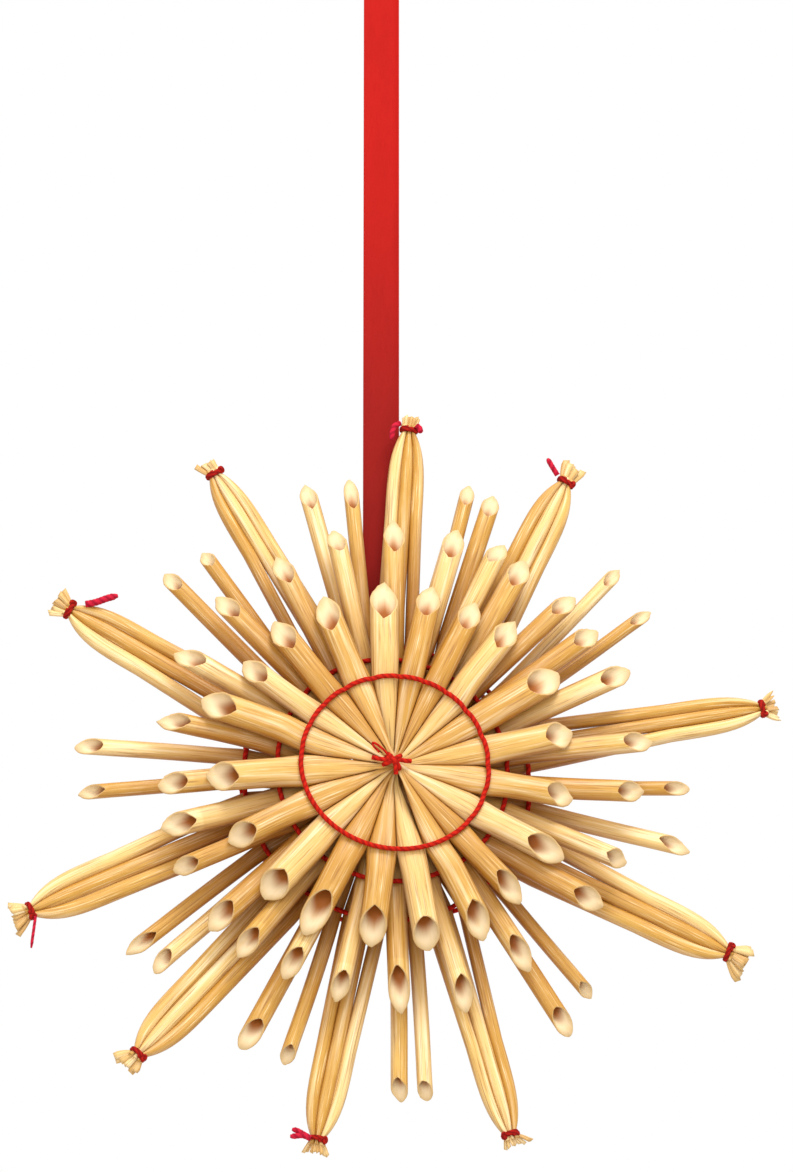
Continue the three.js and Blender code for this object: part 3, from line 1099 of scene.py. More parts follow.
@dataclass
class BackSheaf:
    """Rear sheaf: ten tied points with two free ends between each and the next."""

    finish: StrawFinish
    material: bpy.types.Material
    sheaf: Sheaf = Sheaf(
        ring=25.5,
        depth=4.5,
        waist=6.5,
        width=2.35,
        thickness=2.4,
        ring_thickness=2.2,
        stack_depth=3.45,
        wall=0.28,
        squareness=2.1,
        shade=1.1,
        spare=0.15,
    )
    bundle: Bundle = field(default_factory=Bundle)
    base_heading: Sequence[float] = (
        18.7, 55.1, 86.1, 115.1, 154.4, 197.7, 232.1, 261.2, 294.7, 334.1,
    )
    tie_heading: Sequence[float] = (
        14.3, 60.9, 86.5, 118.6, 152.3, 202.7, 229.8, 259.6, 289.1, 334.9,
    )
    tie_reach: Sequence[float] = (70.1, 67.2, 67.4, 64.9, 64, 67.9, 67.3, 66.6, 67, 67.4)
    tip: Sequence[float] = (
        36.2, 45.1, 70.6, 75.2, 96.5, 104.6, 128.2, 136.6, 175.3, 184.3,
        216.3, 221.1, 243.2, 251.1, 272.3, 276.9, 306.2, 314.1, 350.1, 1.8,
    )
    reach: Sequence[float] = (
        59.6, 60.4, 59.3, 59.6, 58.1, 58.1, 53.6, 54.8, 55.4, 54.7,
        56.4, 54.5, 55.6, 55, 58.1, 58, 55.5, 52.6, 55.7, 54.9,
    )
    width: Sequence[float] = (
        2.4, 2.6, 3.3, 2.7, 2.7, 3.2, 2.8, 3.1, 3, 2.6,
        2.9, 3.1, 3.7, 2.7, 3, 2.7, 3.4, 2.5, 3.2, 2.6,
    )
    slant: Sequence[float] = (
        5.3, 5.1, 5.2, 4.7, 6.5, 5.5, 3.5, 4.3, 4.9, 4.7,
        6.4, 4.6, 6, 3.5, 4.2, 3.2, 5.5, 3.4, 6.4, 5.2,
    )
    skew: Sequence[float] = (
        1, -5, 1, 1, 1, 5, 8, 8, -5, 1,
        10, -20, 10, 1, -22, -20, 1, -8, 10, -10,
    )
    fringes: Sequence[Fringe] = (
        Fringe(Trim.WINGS, 2.9, 3.2, 3.3, 8, 0.95),
        Fringe(Trim.LOBES, 2.3, 1.8, 4.1, 8, 1.0),
        Fringe(Trim.SLIVERS, 1.3, 1.9, 3.2, 8, 0.9),
        Fringe(Trim.FAN, 2.7, 1.0, 2.9, 7, 0.9),
        Fringe(Trim.FAN, 2.4, 3.0, 3.5, 10, 1.12),
        Fringe(Trim.FAN, 3.5, 2.6, 3.9, 10, 1.14),
        Fringe(Trim.LOBES, 2.1, 3.1, 3.6, 8, 1.08),
        Fringe(Trim.SLIVERS, 2.8, 2.2, 3.1, 8, 0.96),
        Fringe(Trim.SLIVERS, 3.9, 2.0, 2.6, 8, 0.9),
        Fringe(Trim.LOBES, 3.0, 3.9, 4.2, 10, 1.14),
    )
    per_group: int = 5

    def __post_init__(self) -> None:
        """Spread the ring crossings evenly between one tied bundle and the next."""
        self.groups = len(self.base_heading)
        self.straws = self.groups * self.per_group // 2
        self.seats = []
        for end in range(self.groups * self.per_group):
            group, place = divmod(end, self.per_group)
            start = self.base_heading[group]
            span = turn_between(start, around(self.base_heading, group + 1))
            self.seats.append(start + span * place / self.per_group)

    def _stack(self, end: int, closer: float = 0.0) -> float:
        """Depth of a straw's waist."""
        place = end % self.straws
        return self.sheaf.stack_depth + (place - (self.straws - 1) / 2) * STACK_PITCH + closer

    def _bundle_of(self, end: int) -> tuple[int, int]:
        """Which bundle a tied end belongs to.

        Args:
            end: number of the end.

        Returns:
            Number of the bundle, and the end's side of it: -1, 0 or 1.
        """
        group, place = divmod(end, self.per_group)
        if place == self.per_group - 1:
            return (group + 1) % self.groups, -1
        return group, place

    def _tied_half(self, maker: StrawMaker, end: int) -> Half:
        """Half of a tied straw: beside its neighbours, drawn in by the tie, then cut short.

        Args:
            maker: the straw's maker.
            end: number of the end.

        Returns:
            The half.
        """
        group, sideways = self._bundle_of(end)
        heading, reach = self.tie_heading[group], self.tie_reach[group]
        room = self.fringes[group].room
        half = Half()
        maker.wedge(half, self.seats[end], gaps_at(self.seats, end), self._stack(end))
        bundle, sheaf = self.bundle.roomy(room), self.sheaf
        start = polar(self.seats[end], sheaf.ring)
        straight = reach * bundle.straight_share
        across = polar(heading + 90, 1.0)
        base, tied = polar(self.base_heading[group], sheaf.ring), polar(heading, reach)
        middle = base + (tied - base) * (straight - sheaf.ring) / (reach - sheaf.ring)
        joined = middle + across * sideways * bundle.pitch
        step = joined - start
        length = float(np.linalg.norm(step))
        run = math.degrees(math.atan2(*step[::-1]))
        proud = 0.22 if sideways == 0 else 0.0
        for distance in (-0.4, 0.0, 0.6, 1.6, 3.2, *np.linspace(5.5, length - 3.0, 7)):
            swell = float(ease(distance, 0.0, 6.0))
            width = sheaf.width + (bundle.width - sheaf.width) * swell
            thickness = sheaf.ring_thickness + (bundle.thickness - sheaf.ring_thickness) * swell
            thickness *= 1 - 0.10 * float(bump(distance, 0.0, 0.7))
            at = start + step * distance / length
            row = maker._section(at, run, sheaf.depth - proud * swell, width, thickness)
            maker._store(half, row, sheaf.ring + distance, width, float(np.linalg.norm(at)))
        taper = reach - straight
        for share in (0.0, 0.12, 0.25, 0.38, 0.5, 0.6, 0.7, 0.78, 0.85, 0.91, 0.96, 1.0):
            pinched = share**4.2
            pitch = bundle.pitch + (bundle.pinch_pitch - bundle.pitch) * pinched
            width = bundle.width + (bundle.pinch_width - bundle.width) * pinched
            thickness = bundle.thickness + (bundle.pinch_thickness - bundle.thickness) * pinched
            radius = straight + (reach - 0.55 - straight) * share
            at = middle + (tied - middle) * (radius - straight) / taper + across * sideways * pitch
            lean = -sideways * math.degrees(3.2 * share**2.2 * 1.5 / taper) * 0.6
            depth = sheaf.depth - proud * (1 - pinched)
            row = maker._section(at, heading + lean, depth, width, thickness)
            maker._store(half, row, radius, width, radius)
        for beyond, grow in ((0.0, 1.0), (0.55, 1.0), (bundle.stub, 1.12)):
            pitch, width = bundle.pinch_pitch * grow, bundle.pinch_width * grow
            at = polar(heading, reach + beyond) + across * sideways * pitch
            thickness = bundle.pinch_thickness * (1 - 0.1 * beyond)
            row = maker._section(at, heading, sheaf.depth, width, thickness)
            maker._store(half, row, reach + beyond, width, reach)
        return half

    def _slivers(self, draft: MeshDraft, maker: StrawMaker, end: int) -> None:
        """Trimmed ends of one tied straw beyond the tie: thin blades that fan out.

        Args:
            draft: the mesh they go to.
            maker: the straw's maker.
            end: number of the end.
        """
        group, sideways = self._bundle_of(end)
        fringe = self.fringes[group]
        for number in range(fringe.blades):
            if number * 3 // fringe.blades == sideways + 1:
                where = (number + 0.5) / fringe.blades * 2 - 1
                self._blade(draft, maker, group, where)

    def _blade(self, draft: MeshDraft, maker: StrawMaker, group: int, where: float) -> None:
        """One blade of the fringe.

        Args:
            draft: the mesh it goes to.
            maker: the straw's maker.
            group: number of the bundle.
            where: from -1 to 1 across the fan.
        """
        fringe, draw = self.fringes[group], maker.draw
        heading, reach = self.tie_heading[group], self.tie_reach[group]
        root, wide_end = fringe.trim.value
        outer = fringe.trim in (Trim.WINGS, Trim.LOBES) and abs(where) > 0.6
        long = fringe.length * draw.uniform(0.86, 1.02) * (1.0 if outer else 0.93)
        target = (fringe.after - fringe.before) / 2 + where * (fringe.after + fringe.before) / 2
        lean = math.degrees(math.atan2(target - where * 1.05, long)) + draw.uniform(-2.0, 2.0)
        long /= math.cos(math.radians(lean))
        back = draw.uniform(-0.42, 0.42)
        rows, place, marks, tone = [], [], [], []
        across = polar(heading + 90, 1.0)
        begin = polar(heading, reach - 0.2) + across * where * 1.05
        corners = np.array([(-1, -1), (0, -1.15), (1, -1), (1, 1), (0, 1.15), (-1, 1)], float)
        skew = draw.uniform(-0.25, 0.25)
        for share in np.linspace(0, 1, 6):
            bent = lean * (0.55 + 0.45 * float(ease(share, 0.0, 0.5)))
            at = begin + polar(heading + bent, long * share)
            width = root + (wide_end - root) * share
            if outer:
                wing, lobe = 1 - 0.8 * share**6, 1 + 0.35 * share - 0.5 * share**8
                width *= wing if fringe.trim is Trim.WINGS else lobe
            thick = 0.34 - 0.14 * share
            side = polar(heading + bent + 90, 1.0)
            run = polar(heading + bent, 1.0)
            depth = self.sheaf.depth + back * (0.5 + 1.2 * share)
            row = np.zeros((6, 3))
            offset = np.outer(corners[:, 0] * width / 2, side)
            offset += np.outer(corners[:, 0] * skew * share, run)
            row[:, 0], row[:, 2] = at[0] + offset[:, 0], at[1] + offset[:, 1]
            row[:, 1] = depth + corners[:, 1] * thick / 2
            number = maker.number + where * 9
            rows.append(row)
            place.append(columns(6, corners[:, 0] * width, reach + long * share, number))
            # the blade's sides take half of the painted side shade
            marks.append(columns(6, np.abs(corners[:, 0]) * 0.5, 0.15, 0.0))
            # painted shade at the blade's root, cut edge at its end
            tone.append(columns(6, maker.tone, 0.12 * (1 - share), 0.5 * (share == 1.0)))
        stored = {STRAW_PLACE: np.array(place), STRAW_MARKS: np.array(marks)}
        stored[STRAW_TONE] = np.array(tone)
        draft.tube(np.array(rows), stored)

    def _free_half(self, maker: StrawMaker, end: int, stack: float) -> Half:
        """Half of a free straw of this sheaf.

        Args:
            maker: the straw's maker.
            end: number of the end.
            stack: depth of its waist.

        Returns:
            The half.
        """
        free = end // self.per_group * 2 + end % self.per_group - 2
        half = Half()
        gaps = gaps_at(self.seats, end)
        maker.sheaf = self.sheaf.with_width(self.width[free])
        maker.wedge(half, self.seats[end], gaps, stack)
        cut = Cut(self.slant[free], self.skew[free], 0.6 + 0.35 * math.sin(end * 3.1), 0.08)
        maker.open_end(half, self.seats[end], gaps, self.tip[free], self.reach[free], cut)
        return half

    def _free_pair(self, group: int) -> None:
        """Two free straws side by side, as one piece.

        Args:
            group: number of the bundle before them.
        """
        draft = straw_draft()
        for second in (0, 1):
            end = group * self.per_group + 2 + second
            maker = StrawMaker(self.sheaf, 200 + end, 900 + end)
            stack = self._stack(end, (-1 if second else 1) * STACK_PITCH * 0.15)
            halves = [self._free_half(maker, number, stack) for number in (end, end + self.straws)]
            draft_straw(draft, *halves)
        node = f"free_straw_pair_{group + 1}"
        hand_over(draft.build(f"{node}_skin", STAR, self.material), self.finish.slot, node)

    def build(self) -> None:
        """Make all straws of the sheaf."""
        tied = 0
        for end in range(self.straws):
            group, place = divmod(end, self.per_group)
            if place == 2:
                self._free_pair(group)
            if place in (2, 3):
                continue
            tied += 1
            maker = StrawMaker(self.sheaf, 100 + end, 500 + end)
            draft = straw_draft()
            ends = (end, end + self.straws)
            draft_straw(draft, *(self._tied_half(maker, number) for number in ends))
            for number in ends:
                self._slivers(draft, maker, number)
            node = f"tied_straw_{tied:02d}"
            hand_over(draft.build(f"{node}_skin", STAR, self.material), self.finish.slot, node)


# ------------------------------------------------------------------ threads
@dataclass
class Thread:
    """Twisted thread drawn along a line."""

    thickness: float = 0.85
    plies: int = 3
    ply_pitch: float = 2.4
    sides: int = 15

    def draft(
        self,
        draft: MeshDraft,
        path: Array,
        closed: bool = False,
        number: float = 0.0,
        thin: Callable[[float], float] | None = None,
    ) -> None:
        """Add a thread to a mesh.

        Args:
            draft: the mesh.
            path: points along the thread's middle.
            closed: whether it is a ring.
            number: shifts its pattern.
            thin: gives a share of the thickness from the share of the way along.
        """
        path = np.asarray(path, float)
        count = len(path)
        ahead = np.roll(path, -1, 0) - np.roll(path, 1, 0)
        if not closed:
            ahead[0], ahead[-1] = path[1] - path[0], path[-1] - path[-2]
        ahead /= np.linalg.norm(ahead, axis=1, keepdims=True)
        steps = np.linalg.norm(np.diff(path, axis=0), axis=1)
        along = np.concatenate([[0.0], np.cumsum(steps)])
        total = along[-1] + (np.linalg.norm(path[0] - path[-1]) if closed else 0.0)
        turns = max(1, round(total / self.ply_pitch)) / total
        about = (np.arange(self.sides) + 0.5) / self.sides * 2 * math.pi
        rows, place = [], []
        guide = np.array([0.0, -1.0, 0.0])
        for index in range(count):
            normal = guide - ahead[index] * (guide @ ahead[index])
            if np.linalg.norm(normal) < 0.2:
                normal = np.array([1.0, 0.0, 0.0]) - ahead[index] * ahead[index][0]
            normal /= np.linalg.norm(normal)
            side = np.cross(ahead[index], normal)
            phase = 2 * math.pi * along[index] * turns
            lobes = 1 - 0.07 + 0.10 * np.abs(np.cos((about - phase) * self.plies / 2))
            radius = self.thickness / 2 * lobes * (thin(index / (count - 1)) if thin else 1.0)
            across = np.outer(np.cos(about) * radius, side)
            rows.append(path[index] + across + np.outer(np.sin(about) * radius, normal))
            place.append(columns(self.sides, about, along[index], number))
            if not closed:
                guide = normal
        draft.tube(np.array(rows), {THREAD_PLACE: np.array(place)}, closed)


def smooth_path(points: Sequence[Sequence[float]], step: float = 0.12) -> Array:
    """Smooth line through points.

    Args:
        points: what it passes through.
        step: distance between its new points.

    Returns:
        Its points.
    """
    given = np.asarray(points, float)
    padded = np.vstack([2 * given[0] - given[1], given, 2 * given[-1] - given[-2]])
    line = []
    for index in range(1, len(padded) - 2):
        a, b, c, d = padded[index - 1 : index + 3]
        pieces = max(2, int(np.linalg.norm(c - b) / step))
        for part in range(pieces):
            t = part / pieces
            square, cube = 2 * a - 5 * b + 4 * c - d, 3 * b - a - 3 * c + d
            line.append(0.5 * (2 * b + (c - a) * t + square * t**2 + cube * t**3))
    line.append(given[-1])
    return np.array(line)


RING_POINTS = 420
TIE_SEED = 40
TIE_TURNS = 2.15
TIE_POINTS_A_TURN = 44
KNOT_POINTS = 26
THREAD_BEDDING = 0.05  # how far a ring sinks into the straws that it holds
REAR_RING_DEPTH = 7.525
KNOT_DEPTH = -8.1


@dataclass
class ThreadWork:
    """All red thread: rings, centre knot and the ties of the points."""

    finish: ThreadFinish
    tail_finish: ThreadFinish
    tie_finish: ThreadFinish
    thread: Thread = field(default_factory=Thread)
    tie_half: float = 1.38

    def __post_init__(self) -> None:
        """Make the three thread materials."""
        self.material = self.finish.material()
        self.tail_material = self.tail_finish.material()
        self.tie_material = self.tie_finish.material()

    def ring(
        self,
        node: str,
        radius: float,
        depth: float,
        seats: Sequence[float],
        oval: float = 1.0,
        dip: float = 0.28,
    ) -> None:
        """One thread ring that dips a little between the straws.

        Args:
            node: the CAD node it stands for.
            radius: of the ring.
            depth: of the thread's middle on top of the straws.
            seats: headings of the straws under it.
            oval: how much wider than high it is.
            dip: how far it sinks between two straws; negative for a ring behind its sheaf.
        """
        path = []
        half_gap = TURN / len(seats) / 2
        for index in range(RING_POINTS):
            heading = TURN * index / RING_POINTS
            near = min(abs(signed(heading - seat % TURN)) for seat in seats) / half_gap
            sink = float(ease(near, 0.45, 1.0)) * dip
            sway = 0.12 * math.sin(math.radians(heading) * 3 + radius)
            x, z = polar(heading, radius + (sway - 0.10 * float(ease(near, 0.5, 1.0))))
            path.append((x * oval, depth + sink, z / oval))
        draft = MeshDraft(THREAD_PLACE)
        self.thread.draft(draft, np.array(path), closed=True, number=radius)
        piece = draft.build(f"{node}_strand", STAR, self.material)
        hand_over(piece, self.finish.slot, node)

    def tie(self, index: int, heading: float, reach: float, depth: float) -> None:
        """Two turns of thread around a bundle.

        Args:
            index: number of the tie.
            heading: of its bundle.
            reach: its distance from the axis.
            depth: of the bundle.
        """
        draw = random.Random(TIE_SEED + index)
        draft = MeshDraft(THREAD_PLACE)
        thin = Thread(0.66, 3, 1.8, 12)
        along, across = polar(heading, 1.0), polar(heading + 90, 1.0)
        slope = draw.uniform(-0.10, 0.10)
        path = []
        for step in range(int(TIE_TURNS * TIE_POINTS_A_TURN)):
            share = step / (TIE_TURNS * TIE_POINTS_A_TURN - 1)
            angle = 2 * math.pi * TIE_TURNS * share + 0.6
            where = reach + (share - 0.5) * 0.55 + slope * math.cos(angle)
            sideways = math.cos(angle) * self.tie_half
            x, z = along * where + across * sideways
            path.append((x, depth - math.sin(angle) * 1.10, z))
        thin.draft(draft, np.array(path), number=float(index))
        knot_side = draw.choice((-1, 1))
        knot = []
        for step in range(KNOT_POINTS):
            angle = 2 * math.pi * 1.4 * step / (KNOT_POINTS - 1)
            sideways = knot_side * (self.tie_half - 0.1) + math.cos(angle) * 0.26
            x, z = along * (reach + math.sin(angle) * 0.42) + across * sideways
            knot.append((x, depth - 0.75 - 0.25 * math.sin(angle * 0.5), z))
        thin.draft(draft, np.array(knot), number=float(index) + 0.5)
        node = f"bundle_tie_{index + 1:02d}"
        hand_over(draft.build(f"{node}_strand", STAR, self.tie_material), self.finish.slot, node)

    def tail(self, name: str, points: Sequence[Sequence[float]], thickness: float) -> None:
        """Loose end of a thread.

        Args:
            name: of the piece.
            points: what it passes through, in star coordinates.
            thickness: of the thread.
        """

        def thin(share: float) -> float:
            """Thinner over the last part of the way."""
            return 1.0 - 0.45 * max(0.0, share - 0.85) / 0.15

        draft = MeshDraft(THREAD_PLACE)
        strand = Thread(thickness, 3, 2.0, 12)
        strand.draft(draft, smooth_path(points), number=len(points) + thickness, thin=thin)
        hand_over(draft.build(name, STAR, self.tail_material), self.finish.slot)

    def centre(self, depth: float) -> None:
        """Knot over the crossing, with its short ends.

        Args:
            depth: of the knot's middle.
        """
        draft = MeshDraft(THREAD_PLACE)
        # each point: sideways, behind the knot's middle, up
        wraps = (
            (
                (-4.2, 0.25, 0.7), (-2.6, 0.0, 0.35), (-1.0, -0.35, 0.1), (0.6, -0.35, 0.25),
                (1.7, -0.1, 0.2), (2.7, 0.3, 0.35),
            ),
            (
                (-1.3, 0.5, 1.5), (-0.9, -0.45, 0.8), (-0.5, -0.75, 0.0), (-0.1, -0.5, -1.0),
                (0.05, 0.1, -2.3),
            ),
            (
                (-2.2, 0.5, -0.5), (-1.3, -0.4, -0.35), (-0.3, -0.8, 0.25), (0.5, -0.3, 0.9),
                (0.9, 0.5, 1.3),
            ),
            (
                (-1.7, 0.4, 0.9), (-1.1, -0.55, 0.35), (-0.35, -0.95, -0.15), (0.35, -0.5, -0.75),
                (0.7, 0.4, -1.2),
            ),
            (
                (-1.2, -0.2, 0.9), (-2.2, -0.5, 1.9), (-3.4, -0.45, 2.9), (-4.1, -0.2, 3.2),
                (-3.9, -0.1, 2.6), (-2.9, -0.1, 1.6),
            ),
        )
        for number, wrap in enumerate(wraps):
            size = 0.42 if number == 4 else 0.82
            path = smooth_path([(x, depth + back, z) for x, back, z in wrap])
            Thread(size, 3, 2.0, 12).draft(draft, path, number=number * 3.0)
        piece = draft.build("centre_knot_strand", STAR, self.material)
        hand_over(piece, self.finish.slot, "centre_knot")


# ------------------------------------------------------------------ ribbon
@dataclass
class Ribbon:
    """Flat loop that hooks round the rear thread and turns over the hook."""

    finish: RibbonFinish
    width: float = 6.5
    thickness: float = 0.42
    turn: float = 8.0
    spread: float = 3.0
    bottom_spread: float = 2.0
    seam: float = 0.6
    thread_top: float = -134.5
    hook: float = -0.975

    def route(self) -> Array:
        """Middle line of the loop, before it is turned about the vertical.

        Returns:
            Its points in millimetres below the hook.
        """
        half, top, thread = self.spread / 2, -0.25, self.thread_top
        low, hook = self.bottom_spread / 2, self.hook
        middle = (thread + top) / 2
        line = [
            (hook + low, thread + self.seam),
            ((hook + low + half) / 2, thread + 5),
            (half, thread + 14),
            (half, middle),
            (half, top - 6),
            (half * 0.7, top - 0.8),
            (0.0, top),
            (-half * 0.7, top - 0.8),
            (-half, top - 6),
            (-half, middle),
            (-half, thread + 14),
            ((hook - low - half) / 2, thread + 5),
            (hook - low, thread),
            (hook - low * 0.7, thread - low * 0.75),
            (hook, thread - low * 1.05),
            (hook + low * 0.7, thread - low * 0.75),
            (hook + low, thread - self.seam * 0.3),
        ]
        return smooth_path([(0.0, back, up) for back, up in line], 0.8)

    def build(self) -> None:
        route = self.route()
        angle = -math.radians(self.turn)
        cosine, sine = math.cos(angle), math.sin(angle)
        turned = np.array([[cosine, sine, 0], [-sine, cosine, 0], [0, 0, 1]])
        ahead = np.gradient(route, axis=0)
        ahead /= np.linalg.norm(ahead, axis=1, keepdims=True)
        steps = np.linalg.norm(np.diff(route, axis=0), axis=1)
        along = np.concatenate([[0.0], np.cumsum(steps)])
        half, thick = self.width / 2, self.thickness / 2
        profile = np.array(
            [(-1.0, 0.0), (-0.99, 0.9), (-0.95, 1.0), (-0.93, 0.75)]
            + [(x, 0.72) for x in (-0.6, -0.3, 0.0, 0.3, 0.6)]
            + [(0.93, 0.75), (0.95, 1.0), (0.99, 0.9), (1.0, 0.0)]
            + [(0.99, -0.9), (0.95, -1.0), (0.93, -0.75)]
            + [(x, -0.72) for x in (0.6, 0.3, 0.0, -0.3, -0.6)]
            + [(-0.93, -0.75), (-0.95, -1.0), (-0.99, -0.9)]
        )
        rows, place = [], []
        for index, point in enumerate(route):
            normal = np.cross(ahead[index], [1.0, 0.0, 0.0])
            row = point + np.outer(profile[:, 0] * half, [1.0, 0.0, 0.0])
            rows.append((row + np.outer(profile[:, 1] * thick, normal)) @ turned)
            place.append(columns(len(profile), profile[:, 0] * half, along[index], point[2]))
        draft = MeshDraft(THREAD_PLACE)
        draft.tube(np.array(rows), {THREAD_PLACE: np.array(place)})
        piece = draft.build("ribbon_loop_satin", HOOK, self.finish.material())
        hand_over(piece, self.finish.slot, "ribbon_loop")
        self.width * MM


# ------------------------------------------------------------------ stage
@dataclass
class Studio:
    """Camera, soft light and a pale floor."""

    azimuth: float = -8.0
    elevation: float = -20.0
    distance: float = 1.2
    lens: float = 210.6
    anchor: tuple[float, float, float] = (0.35, -17.5, -160.0)
    lift: float = 30.45
    floor_drop: float = 0.9

    def camera(self) -> None:
        """Place the camera below and a little to the left of the star."""
        azimuth, elevation = math.radians(self.azimuth), math.radians(self.elevation)
        towards = Vector(
            (
                math.sin(azimuth) * math.cos(elevation),
                -math.cos(azimuth) * math.cos(elevation),
                math.sin(elevation),
            )
        )
        up = (Vector((0, 0, 1)) - towards * towards.z).normalized()
        target = Vector(self.anchor) * MM + up * self.lift * MM
        data = bpy.data.cameras.new("camera")
        data.lens, data.sensor_width, data.sensor_fit = self.lens, 36.0, "AUTO"
        data.clip_start, data.clip_end = 0.05, 20.0
        made = bpy.data.objects.new("camera", data)
        made.location = target + towards * self.distance
        made.rotation_euler = towards.to_track_quat("Z", "Y").to_euler()
        bpy.context.scene.collection.objects.link(made)
        bpy.context.scene.camera = made

    def _lamp(
        self, name: str, place: Sequence[float], size: float, power: float, tint: Colour
    ) -> None:
        """Square soft light that faces the star.

        Args:
            name: of the lamp.
            place: where it stands, in metres.
            size: of its side, in metres.
            power: in watts.
            tint: its colour.
        """
        data = bpy.data.lights.new(name, "AREA")
        data.size, data.energy, data.color = size, power, tint[:3]
        made = bpy.data.objects.new(name, data)
        made.location = place
        target = Vector(self.anchor) * MM
        made.rotation_euler = (Vector(place) - target).to_track_quat("Z", "Y").to_euler()
        bpy.context.scene.collection.objects.link(made)

    def build(self) -> None:
        """Light the star and lay the floor."""
        self._lamp("key_light", (0.10, -0.55, 0.50), 0.4, 5.6, colour(0xFFFAF2))
        self._lamp("fill_light", (-0.3, -0.9, -0.1), 0.6, 2.4, colour(0xFFFFFF))
        world = bpy.data.worlds.new("studio")
        bpy.context.scene.world = world
        world.use_nodes = True
        tree = world.node_tree
        tree.nodes.clear()
        place = tree.nodes.new("ShaderNodeTexCoord")
        split = tree.nodes.new("ShaderNodeSeparateXYZ")
        ramp = tree.nodes.new("ShaderNodeMapRange")
        ramp.interpolation_type = "SMOOTHSTEP"
        heights = {"From Min": -0.55, "From Max": 0.12, "To Min": 0.30, "To Max": 1.0}
        for name, number in heights.items():
            ramp.inputs[name].default_value = number
        back = tree.nodes.new("ShaderNodeBackground")
        back.inputs["Color"].default_value = (1.0, 1.0, 1.0, 1.0)
        out = tree.nodes.new("ShaderNodeOutputWorld")
        tree.links.new(place.outputs["Generated"], split.inputs[0])
        tree.links.new(split.outputs["Z"], ramp.inputs["Value"])
        tree.links.new(ramp.outputs["Result"], back.inputs["Strength"])
        tree.links.new(back.outputs[0], out.inputs["Surface"])
        bpy.context.scene.view_settings.view_transform = "Standard"
        self._floor()

    def _floor(self) -> None:
        """Pale round floor well below the star."""
        points, faces = [(0.0, 0.0, -self.floor_drop)], []
        rings, sides = (0.5, 1.5, 4.0), 64
        for radius in rings:
            for index in range(sides):
                angle = 2 * math.pi * index / sides
                x, y = radius * math.cos(angle), radius * math.sin(angle)
                points.append((x, y, -self.floor_drop))
        for index in range(sides):
            after = (index + 1) % sides
            faces.append((0, 1 + index, 1 + after))
            for ring in range(len(rings) - 1):
                low, high = 1 + ring * sides, 1 + (ring + 1) * sides
                faces.append((low + index, high + index, high + after, low + after))
        mesh = bpy.data.meshes.new("floor")
        mesh.from_pydata(points, [], faces)
        shader = Shader("pale_floor")
        place = shader.tint("ShaderNodeTexCoord", {}, {}, "Object")
        cloud = shader.noise(place, 3.0, 3.0)
        paint = shader.mixed(colour(0xEDEAE6), colour(0xF4F2EF), cloud.step(0.3, 0.7))
        mesh.materials.append(shader.surface({"Base Color": paint, "Roughness": 0.8 + cloud * 0.1}))
        floor = bpy.data.objects.new("floor", mesh)
        bpy.context.scene.collection.objects.link(floor)


# ------------------------------------------------------------------ the star
FRONT_SEATS = (
    12.5, 31.3, 49.8, 64.4, 79.3, 95.2, 113.2, 132, 148, 163.5,
    186.5, 206.9, 225.5, 243.1, 262.4, 281, 298.8, 313, 331, 352,
)


def corners(box: Sequence[Iterable[float]]) -> list[list[float]]:
    """A box as plain lists of numbers."""
    return [[float(number) for number in corner] for corner in box]


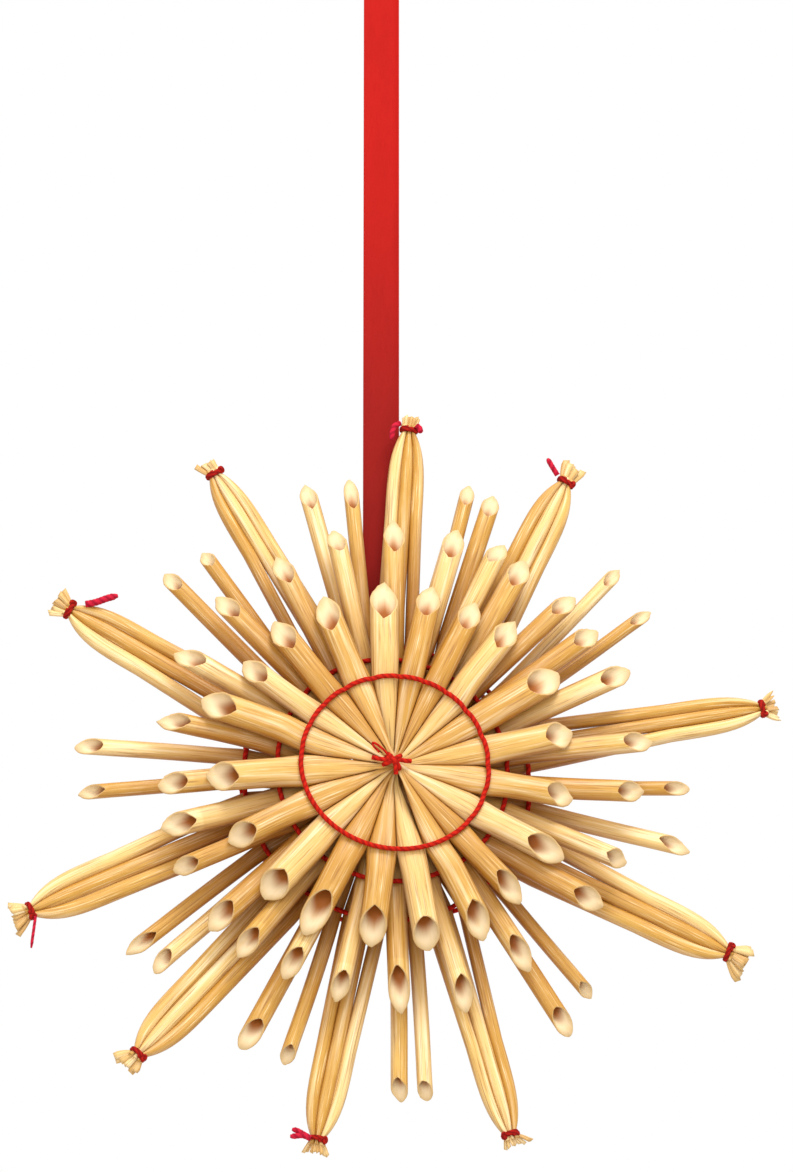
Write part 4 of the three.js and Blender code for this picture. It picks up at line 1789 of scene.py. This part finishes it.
def main() -> None:
    """Build the looks of the whole ornament."""
    logging.basicConfig(level=logging.INFO, format="%(name)s %(message)s")
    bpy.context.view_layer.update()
    studio = Studio()
    studio.camera()
    Ribbon(RibbonFinish()).build()

    finish = StrawFinish()
    straw = finish.material()
    front = OpenSheaf(
        name="front_straw",
        sheaf=Sheaf(
            ring=16.3,
            depth=-6.0,
            waist=3.3,
            width=4.8,
            thickness=3.8,
            ring_thickness=2.6,
            stack_depth=-6.0,
            wall=0.42,
            squareness=2.4,
            shade=0.25,
        ),
        seat=FRONT_SEATS,
        tip=(
            14, 32.5, 51.7, 64.6, 78.5, 92.7, 112.5, 130, 146, 163,
            186.6, 207.8, 227.3, 243.6, 262.7, 280.5, 297.5, 313.6, 332.6, 352.1,
        ),
        reach=(
            33.2, 35.4, 35.9, 34.9, 35, 34.8, 33.8, 34, 32.4, 35.9,
            33.2, 32.5, 33.8, 35, 33.3, 34, 34.8, 33, 34.1, 32.4,
        ),
        width=(
            5, 5.5, 4.6, 4.2, 4.4, 5, 4.6, 4.5, 4, 5,
            5.2, 4.6, 5.5, 4.9, 4.9, 4.9, 4.6, 4.1, 4.6, 4.4,
        ),
        slant=(
            6, 7.6, 7.3, 6.8, 7.1, 8.2, 7.4, 7, 5.7, 6.6,
            5.5, 4.8, 5.6, 8.5, 6.8, 5.8, 6.8, 7, 7.5, 5.4,
        ),
        skew=(-5, -2, -6, -2, 5, 3, 20, 14, 16, 8, 12, 5, -3, 1, -5, -2, 6, 1, -8, 1),
        first_in_stack=6,
        finish=finish,
        material=straw,
    )
    second = OpenSheaf(
        name="second_straw",
        sheaf=Sheaf(
            ring=20.5,
            depth=-2.0,
            waist=4.0,
            width=4.0,
            thickness=3.2,
            ring_thickness=2.4,
            stack_depth=-2.4,
            wall=0.36,
            squareness=2.3,
            shade=0.8,
        ),
        tip=(
            10, 26.3, 37.7, 46.6, 59.5, 65.7, 75.5, 89.4, 102.7, 117.2, 134.5, 151.2, 169.1,
            185.8, 196.3, 207.3, 222.7, 232, 243.9, 257.5, 272.3, 287.5, 305, 328.7, 340.6, 358.3,
        ),
        reach=(
            47.9, 48.3, 47.3, 48.3, 48.2, 48.9, 48.2, 48, 46.5, 44.8, 44.5, 43.7, 42.1,
            41.3, 42.2, 42.9, 43.7, 43.8, 42.6, 43.1, 43.9, 45.2, 43.1, 44.1, 44.6, 45.4,
        ),
        width=(
            3.8, 4, 4, 3.6, 4.2, 3.7, 4, 3.9, 3.5, 3.8, 3.8, 3.9, 3.5,
            3.9, 4.3, 3.4, 4.2, 3.8, 3.6, 3.4, 3.8, 3.7, 3.9, 4.2, 3.5, 3.8,
        ),
        slant=(
            6.2, 6.8, 6.3, 6.3, 6.7, 5.5, 6.7, 7.3, 5, 6.3, 6, 5.9, 5.9,
            5.2, 6.2, 4.4, 6, 5.8, 5.9, 5.4, 8.4, 6.5, 7.2, 5.9, 4.2, 5.2,
        ),
        skew=(
            1, -5, 1, 6, -3, 14, 1, 1, 1, 7, 5, -9, -7,
            1, 8, 11, -9, -6, 1, 1, -10, 6, 1, -11, -9, -14,
        ),
        finish=finish,
        material=straw,
    )
    front.build()
    second.build()
    back = BackSheaf(finish=finish, material=straw)
    back.build()

    threads = ThreadWork(
        ThreadFinish("red_thread", colour(0xC4200F), colour(0x8A0E08)),
        ThreadFinish("crimson_thread", colour(0xC41E38), colour(0x8A0F26)),
        ThreadFinish("tie_thread", colour(0xA4180F), colour(0x660A08)),
    )
    rings = (
        ("front_thread_ring", front.sheaf, FRONT_SEATS, 1.02),
        ("second_thread_ring", second.sheaf, second.seats(), 1.0),
        ("back_thread_ring", back.sheaf, back.seats, 1.0),
    )
    for node, sheaf, seats, oval in rings:
        top = sheaf.depth - sheaf.ring_thickness / 2 - threads.thread.thickness / 2
        threads.ring(node, sheaf.ring, top + THREAD_BEDDING, seats, oval)
    threads.ring("rear_thread_ring", back.sheaf.ring, REAR_RING_DEPTH, back.seats, dip=-0.3)
    for index, (heading, reach) in enumerate(zip(back.tie_heading, back.tie_reach)):
        threads.tie(index, heading, reach, back.sheaf.depth)
    threads.centre(KNOT_DEPTH)
    # thickness, heading of the tie, and each point: outwards, sideways, depth
    loose = {
        "loose_end_61": (
            0.95, 61.5, ((67.2, 1.2, 3.2), (67.9, 2.6, 2.9), (68.7, 3.8, 3.0), (69.0, 4.2, 3.1)),
        ),
        "loose_end_87": (
            1.0, 87, ((68.1, 1.2, 3.1), (67.4, 2.2, 2.9), (66.0, 2.55, 2.9), (64.7, 2.6, 3.0)),
        ),
        "loose_end_87b": (
            1.0, 87, ((68.0, -1.8, 3.1), (67.4, -2.4, 3.0), (66.6, -2.6, 3.1)),
        ),
        "loose_end_151": (
            1.25, 151.5,
            ((62.0, -1.3, 3.5), (60.6, -2.4, 3.0), (59.2, -4.1, 2.9), (57.9, -5.5, 3.0)),
        ),
        "loose_end_202": (
            0.55, 202.5, ((67.6, 1.8, 3.3), (68.6, 3.6, 3.0), (69.6, 5.4, 3.0), (70.4, 6.9, 3.2)),
        ),
        "loose_end_259": (
            0.95, 259.5,
            ((66.9, -1.2, 3.2), (66.6, -2.4, 2.9), (66.2, -3.6, 3.0), (66.1, -4.6, 3.1)),
        ),
        "loose_end_259b": (
            1.0, 259.5,
            ((67.0, -1.2, 3.1), (66.9, -2.6, 2.8), (67.3, -3.9, 2.8), (67.5, -4.7, 2.9)),
        ),
    }
    for name, (thickness, heading, spots) in loose.items():
        across = polar(heading + 90, 1.0)
        points = []
        for out, side, depth in spots:
            x, z = polar(heading, out) + across * side
            points.append((x, depth, z))
        threads.tail(name, points, thickness)

    studio.build()


if __name__ == "__main__":
    main()
